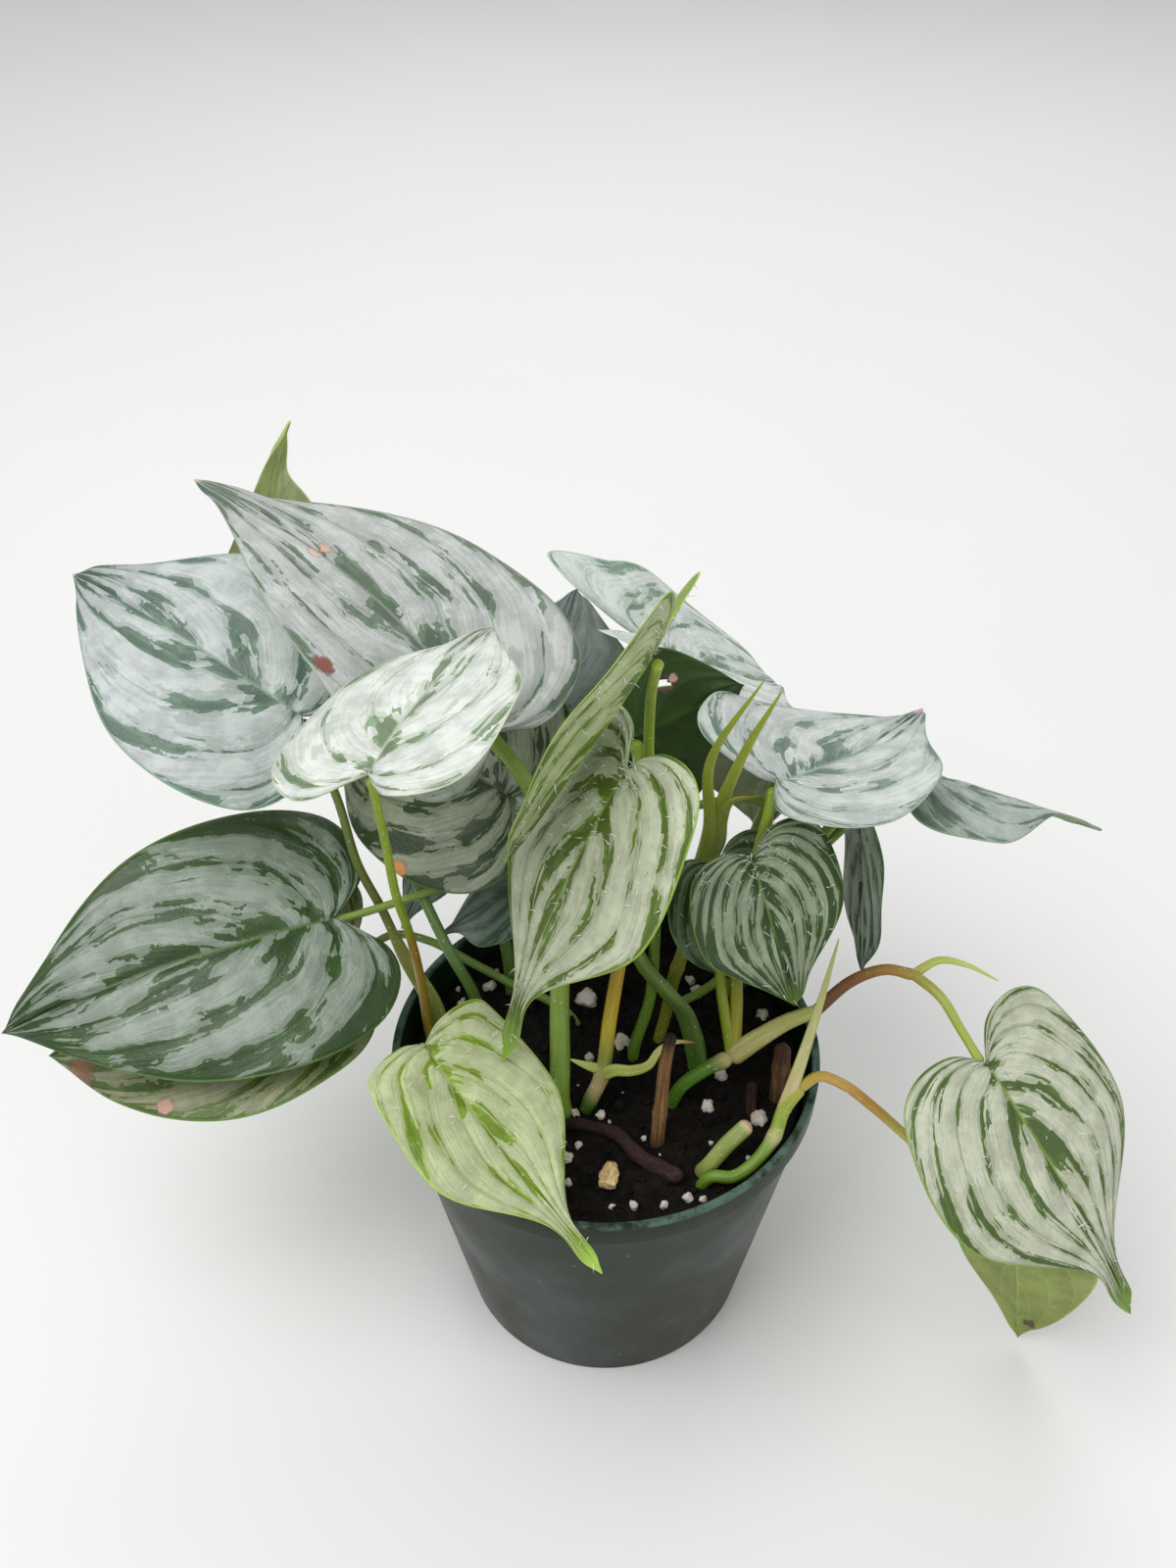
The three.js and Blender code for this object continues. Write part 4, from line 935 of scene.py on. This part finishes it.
def soil_height(x, y):
    """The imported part's gentle swell with crumbs of three sizes on it."""
    r = math.hypot(x, y)
    swell = math.cos(math.pi / 2 * min(r / pot_radius(SOIL_LEVEL), 1))
    waves = math.sin(x * 0.31 + 1.3) * math.cos(y * 0.27 - 0.4) + 0.6 * math.sin(x * 0.13 - y * 0.41)
    plain = SOIL_LEVEL + SOIL["crown"] * swell + SOIL["ripple"] * waves * min(1, 2 * swell)
    lumps = (1.5 * noise.noise(Vector((x * 0.16, y * 0.16, 4)))
             + 0.9 * noise.noise(Vector((x * 0.45, y * 0.45, 9))))
    return plain + lumps + 0.5 * noise.noise(Vector((x * 1.1, y * 1.1, 2)))


def soil_material():
    """Damp, nearly black peat with brown fibres and a few dusty crumbs."""
    s = Shader("potting_mix")
    place = s.place()
    coarse = s.noise(place, scale=240.0, detail=6, roughness=0.7)
    fine = s.noise(place, scale=900.0, detail=4, roughness=0.7)
    colour = s.mix(s.smooth(coarse, 0.35, 0.7), srgb("070504"), srgb("1a120b"))
    colour = s.mix(s.smooth(fine, 0.62, 0.72, 0.0, 0.7), colour, srgb("33231a"))
    s.set(Base_Color=colour, Roughness=s.smooth(coarse, 0.3, 0.7, 0.95, 0.75), Specular_IOR_Level=0.25)
    s.bump(s.math("ADD", coarse, fine), 1.0, 0.0008)
    return s.material


def perlite_material():
    s = Shader("perlite")
    place = s.place()
    pores = s.noise(place, scale=900.0, detail=4, roughness=0.7)
    stain = s.noise(place, scale=180.0, detail=2)
    colour = s.mix(s.smooth(stain, 0.45, 0.75, 0.0, 0.6), srgb("dcd6cc"), srgb("b8a48c"))
    colour = s.mix(s.smooth(pores, 0.25, 0.42, 0.7, 0.0), colour, srgb("8d8176"))
    s.set(Base_Color=colour, Roughness=0.9)
    s.bump(pores, 0.8, 0.0004)
    return s.material


def build_soil(material):
    rings, sectors = SOIL["rings"], SOIL["sectors"]
    top = pot_radius(SOIL_LEVEL) - POT["wall"] - SOIL["wall_gap"]
    bottom = POT["floor"] + SOIL["floor_gap"]
    verts = [(0, 0, soil_height(0, 0))]
    for k in range(1, rings + 1):
        for i in range(sectors):
            a = 2 * math.pi * i / sectors
            x, y = top * k / rings * math.cos(a), top * k / rings * math.sin(a)
            verts.append((x, y, soil_height(x, y)))
    foot = pot_radius(bottom) - POT["wall"] - SOIL["wall_gap"]
    for i in range(sectors):
        a = 2 * math.pi * i / sectors
        verts.append((foot * math.cos(a), foot * math.sin(a), bottom))
    verts.append((0, 0, bottom))
    faces = []
    for i in range(sectors):
        j = (i + 1) % sectors
        faces.append((0, 1 + i, 1 + j))
        for k in range(rings):
            a, b = 1 + k * sectors + i, 1 + k * sectors + j
            faces.append((a, a + sectors, b + sectors, b))
        faces.append((1 + rings * sectors + j, 1 + rings * sectors + i, len(verts) - 1))
    make_piece("soil_fine", verts, faces, [material], node="soil")


def lump(size, detail, squash, seed):
    """A crumb: a ball knocked out of round."""
    ball = bmesh.new()
    bmesh.ops.create_icosphere(ball, subdivisions=detail, radius=1)
    spin = Euler([rng.uniform(0, 6.28) for _ in range(3)]).to_matrix()
    verts = []
    for v in ball.verts:
        bulge = 1 + 0.5 * noise.noise(v.co * 1.4 + Vector((seed, 0, 0)))
        bulge += 0.26 * noise.noise(v.co * 3.1 + Vector((0, seed, 0)))
        p = v.co * bulge
        p = spin @ Vector((p.x, p.y * squash, p.z * (squash + 0.15)))
        verts.append(p * size / 2)
    faces = [tuple(v.index for v in f.verts) for f in ball.faces]
    ball.free()
    return verts, faces


def scatter(name, places, detail, squash, material, sink):
    """Crumbs lying on the soil, each sunk a little into it."""
    verts, faces = [], []
    for seed, (x, y, size) in enumerate(places):
        v, f = lump(size, detail, squash, seed * 0.7)
        first = len(verts)
        at = Vector((x, y, soil_height(x, y) + size * (0.5 - sink) * squash))
        verts += [p + at for p in v]
        faces += [tuple(k + first for k in face) for face in f]
    make_piece(name, verts, faces, [material])


def random_places(count, low, high):
    """Places on the soil within the pot, most of them small."""
    reach = pot_radius(SOIL_LEVEL) - POT["wall"] - 2.5
    places = []
    for _ in range(count):
        r, a = reach * math.sqrt(rng.random()), rng.uniform(0, 2 * math.pi)
        places.append((r * math.cos(a), r * math.sin(a), low + (high - low) * rng.random() ** 2.5))
    return places


EARTH = soil_material()
WHITE = perlite_material()
build_soil(EARTH)
scatter("crumbs_small", random_places(900, 0.7, 1.9), 1, 0.8, EARTH, 0.25)
scatter("crumbs_large", random_places(170, 1.8, 4.4), 2, 0.7, EARTH, 0.35)
scatter("perlite_large", PERLITE, 3, 0.8, WHITE, 0.2)
scatter("perlite_small", random_places(24, 0.6, 2.2), 2, 0.85, WHITE, 0.2)


def build_chip():
    """A pale chip of bark on the front of the soil, with a rough, split face."""
    s = Shader("bark_chip")
    place = s.place()
    turned = {"Vector": place, "Scale": (900, 260, 900), "Rotation": (0, 0, math.radians(-25))}
    fibre = s.noise(s.node("Mapping", turned), detail=5, roughness=0.65)
    stain = s.noise(place, scale=330.0, detail=3)
    colour = s.mix(s.smooth(fibre, 0.35, 0.65), srgb("e6cf9c"), srgb("b98f5a"))
    colour = s.mix(s.smooth(stain, 0.55, 0.72, 0.0, 0.8), colour, srgb("7a4f2e"))
    s.set(Base_Color=colour, Roughness=0.85)
    s.bump(fibre, 0.8, 0.0005)
    mesh = bmesh.new()
    bmesh.ops.create_cube(mesh, size=1)
    bmesh.ops.subdivide_edges(mesh, edges=mesh.edges, cuts=9, use_grid_fill=True)
    turn = Euler((0, math.radians(8), math.radians(80))).to_matrix()
    verts = []
    for v in mesh.verts:
        x, y, z = v.co * 2
        taper = 1 - 0.35 * max(0, x) - 0.15 * x * x
        p = Vector((x * 3.5, y * 2.2 * taper, z * 0.9 * (1 - 0.25 * y * y)))
        p += 0.35 * Vector((noise.noise(p * 0.9), noise.noise(p * 0.9 + Vector((5, 0, 0))),
                            noise.noise(p * 1.4)))
        verts.append(turn @ p + Vector((0.5, -33.6, 79.4)))
    faces = [tuple(v.index for v in f.verts) for f in mesh.faces]
    mesh.free()
    make_piece("bark_chip_fine", verts, faces, [s.material], node="bark_chip")


build_chip()



def rounded(profile, radius, cuts=4):
    """The profile with each inner corner turned into a small arc."""
    points = [np.array(profile[0], float)]
    for a, b, c in zip(profile, profile[1:], profile[2:]):
        a, b, c = (np.array(q, float) for q in (a, b, c))
        back, ahead = a - b, c - b
        cut = min(radius, 0.45 * np.linalg.norm(back), 0.45 * np.linalg.norm(ahead))
        start = b + back / np.linalg.norm(back) * cut
        end = b + ahead / np.linalg.norm(ahead) * cut
        for u in np.linspace(0, 1, cuts + 1):
            points.append((1 - u) ** 2 * start + 2 * u * (1 - u) * b + u**2 * end)
    points.append(np.array(profile[-1], float))
    return points


def lathe(profile, sides):
    """A closed turned shape; its profile starts and ends on the axis."""
    verts = [(0, 0, profile[0][1])]
    for r, z in profile[1:-1]:
        for i in range(sides):
            a = 2 * math.pi * i / sides
            verts.append((r * math.cos(a), r * math.sin(a), z))
    verts.append((0, 0, profile[-1][1]))
    rings = len(profile) - 2
    faces = []
    for i in range(sides):
        j = (i + 1) % sides
        faces.append((0, 1 + j, 1 + i))
        for k in range(rings - 1):
            a, b = 1 + k * sides + i, 1 + k * sides + j
            faces.append((a, b, b + sides, a + sides))
        faces.append((1 + (rings - 1) * sides + i, 1 + (rings - 1) * sides + j, len(verts) - 1))
    return verts, faces


def pot_material():
    """Dark green moulded plastic: soft gloss, a brown film of dust and painted reflection, most low down,
    rubbed pale along the lip.
    """
    s = Shader("green_plastic")
    place = s.place()
    _, _, z = s.split(place)
    cloud = s.noise(place, scale=28.0, detail=4, roughness=0.6)
    fine = s.noise(place, scale=420.0, detail=4, roughness=0.65)
    rub = s.noise(place, scale=150.0, detail=5, roughness=0.7)
    colour = s.mix(s.smooth(cloud, 0.35, 0.7), srgb("0f2217"), srgb("1c2c1f"))
    # Brown film, heavier low down: partly dust, partly a painted brown reflection.
    dust_and_reflection = s.math("MULTIPLY", s.smooth(cloud, 0.42, 0.66), s.smooth(z, 0.02, 0.075, 0.7, 0.35))
    colour = s.mix(s.math("MULTIPLY", dust_and_reflection, s.smooth(fine, 0.3, 0.7, 0.5, 1.0)), colour, srgb("30281c"))
    lip = s.math("MULTIPLY", s.smooth(z, 0.0846, 0.0857), s.smooth(rub, 0.36, 0.6))
    colour = s.mix(s.math("MULTIPLY", lip, 0.55), colour, srgb("6f8c80"))
    scratch = s.noise(s.node("Mapping", {"Vector": place, "Scale": (1, 1, 9)}),
                      scale=130.0, detail=3, roughness=0.7)
    colour = s.mix(s.smooth(scratch, 0.7, 0.76, 0.0, 0.3), colour, srgb("6a746a"))
    specks = s.node("TexVoronoi", {"Vector": place, "Scale": 130.0}, output="Distance")
    colour = s.mix(s.smooth(specks, 0.04, 0.07, 0.4, 0.0), colour, srgb("8f9488"))
    s.set(Base_Color=colour, Roughness=s.smooth(cloud, 0.3, 0.7, 0.3, 0.5), Specular_IOR_Level=0.2)
    s.bump(s.math("ADD", fine, s.math("MULTIPLY", rub, 0.5)), 0.12, 0.0003)
    return s.material


def build_pot():
    height, rim, foot, floor = POT["height"], POT["rim"], POT["foot"], POT["floor"]
    lip_foot = height - POT["lip"]
    inner = pot_radius(height) - POT["wall"]
    profile = [
        (0, 0), (foot, 0), (pot_radius(lip_foot), lip_foot), (rim - 0.3, lip_foot + 0.1), (rim, height),
        (inner, height), (inner - 0.6, lip_foot), (pot_radius(floor) - POT["wall"], floor), (0, floor),
    ]
    verts, faces = lathe(rounded(profile, POT["edge"]), 160)
    pot = make_piece("pot_fine", verts, faces, [pot_material()], node="pot")
    cutters = []
    for k in range(DRAINS["count"]):
        angle = 2 * math.pi * (k + 0.5) / DRAINS["count"]
        at = (DRAINS["ring"] * math.cos(angle) * MM, DRAINS["ring"] * math.sin(angle) * MM, 0)
        drill = bmesh.new()
        bore = DRAINS["radius"] * MM
        bmesh.ops.create_cone(drill, cap_ends=True, segments=40, radius1=bore, radius2=bore, depth=0.02)
        bmesh.ops.translate(drill, verts=drill.verts, vec=at)
        mesh = bpy.data.meshes.new("drill")
        drill.to_mesh(mesh)
        drill.free()
        cutter = bpy.data.objects.new("drill", mesh)
        bpy.context.scene.collection.objects.link(cutter)
        cutters.append(cutter)
        cut = pot.modifiers.new("drain", "BOOLEAN")
        cut.object = cutter
        cut.solver = "EXACT"
    bpy.context.view_layer.update()
    cut_mesh = bpy.data.meshes.new_from_object(pot.evaluated_get(bpy.context.evaluated_depsgraph_get()))
    pot.modifiers.clear()
    pot.data = cut_mesh
    for cutter in cutters:
        bpy.data.objects.remove(cutter)


build_pot()



def set_stage():
    camera = bpy.data.objects.new("camera", bpy.data.cameras.new("camera"))
    camera.data.lens = CAMERA_LENS
    camera.data.sensor_width = 36
    camera.location = Vector(CAMERA_AT) * MM
    tilt = Euler((math.radians(90 - CAMERA_PITCH), 0, 0)).to_matrix()
    roll = Euler((0, 0, math.radians(CAMERA_ROLL))).to_matrix()
    camera.rotation_euler = (tilt @ roll).to_euler()
    bpy.context.scene.collection.objects.link(camera)
    bpy.context.scene.camera = camera

    s = Shader("pale_floor")
    mottle = s.noise(s.place(), scale=6.0, detail=3)
    s.set(Base_Color=s.mix(mottle, (0.86, 0.86, 0.855, 1), (0.9, 0.9, 0.895, 1)), Roughness=0.8)
    mesh = bpy.data.meshes.new("floor")
    mesh.from_pydata([(-3, -3, 0), (3, -3, 0), (3, 3, 0), (-3, 3, 0)], [], [(0, 1, 2, 3)])
    mesh.materials.append(s.material)
    floor = bpy.data.objects.new("floor", mesh)
    bpy.context.scene.collection.objects.link(floor)

    for name, at, size, power in (
        ("key", (-0.45, -0.25, 1.1), 0.9, 8),
        ("fill", (0.8, -0.6, 0.7), 0.8, 2),
        ("back", (0.1, 0.9, 0.9), 0.8, 3),
    ):
        lamp = bpy.data.objects.new(name, bpy.data.lights.new(name, "AREA"))
        lamp.data.size = size
        lamp.data.energy = power
        lamp.location = at
        lamp.rotation_euler = (Vector((0, 0, 0.1)) - Vector(at)).to_track_quat("-Z", "Y").to_euler()
        bpy.context.scene.collection.objects.link(lamp)
    world = bpy.data.worlds.new("studio")
    world.use_nodes = True
    world.node_tree.nodes["Background"].inputs["Color"].default_value = (1, 1, 1, 1)
    world.node_tree.nodes["Background"].inputs["Strength"].default_value = 0.5
    bpy.context.scene.world = world
    bpy.context.scene.view_settings.view_transform = "Standard"


set_stage()
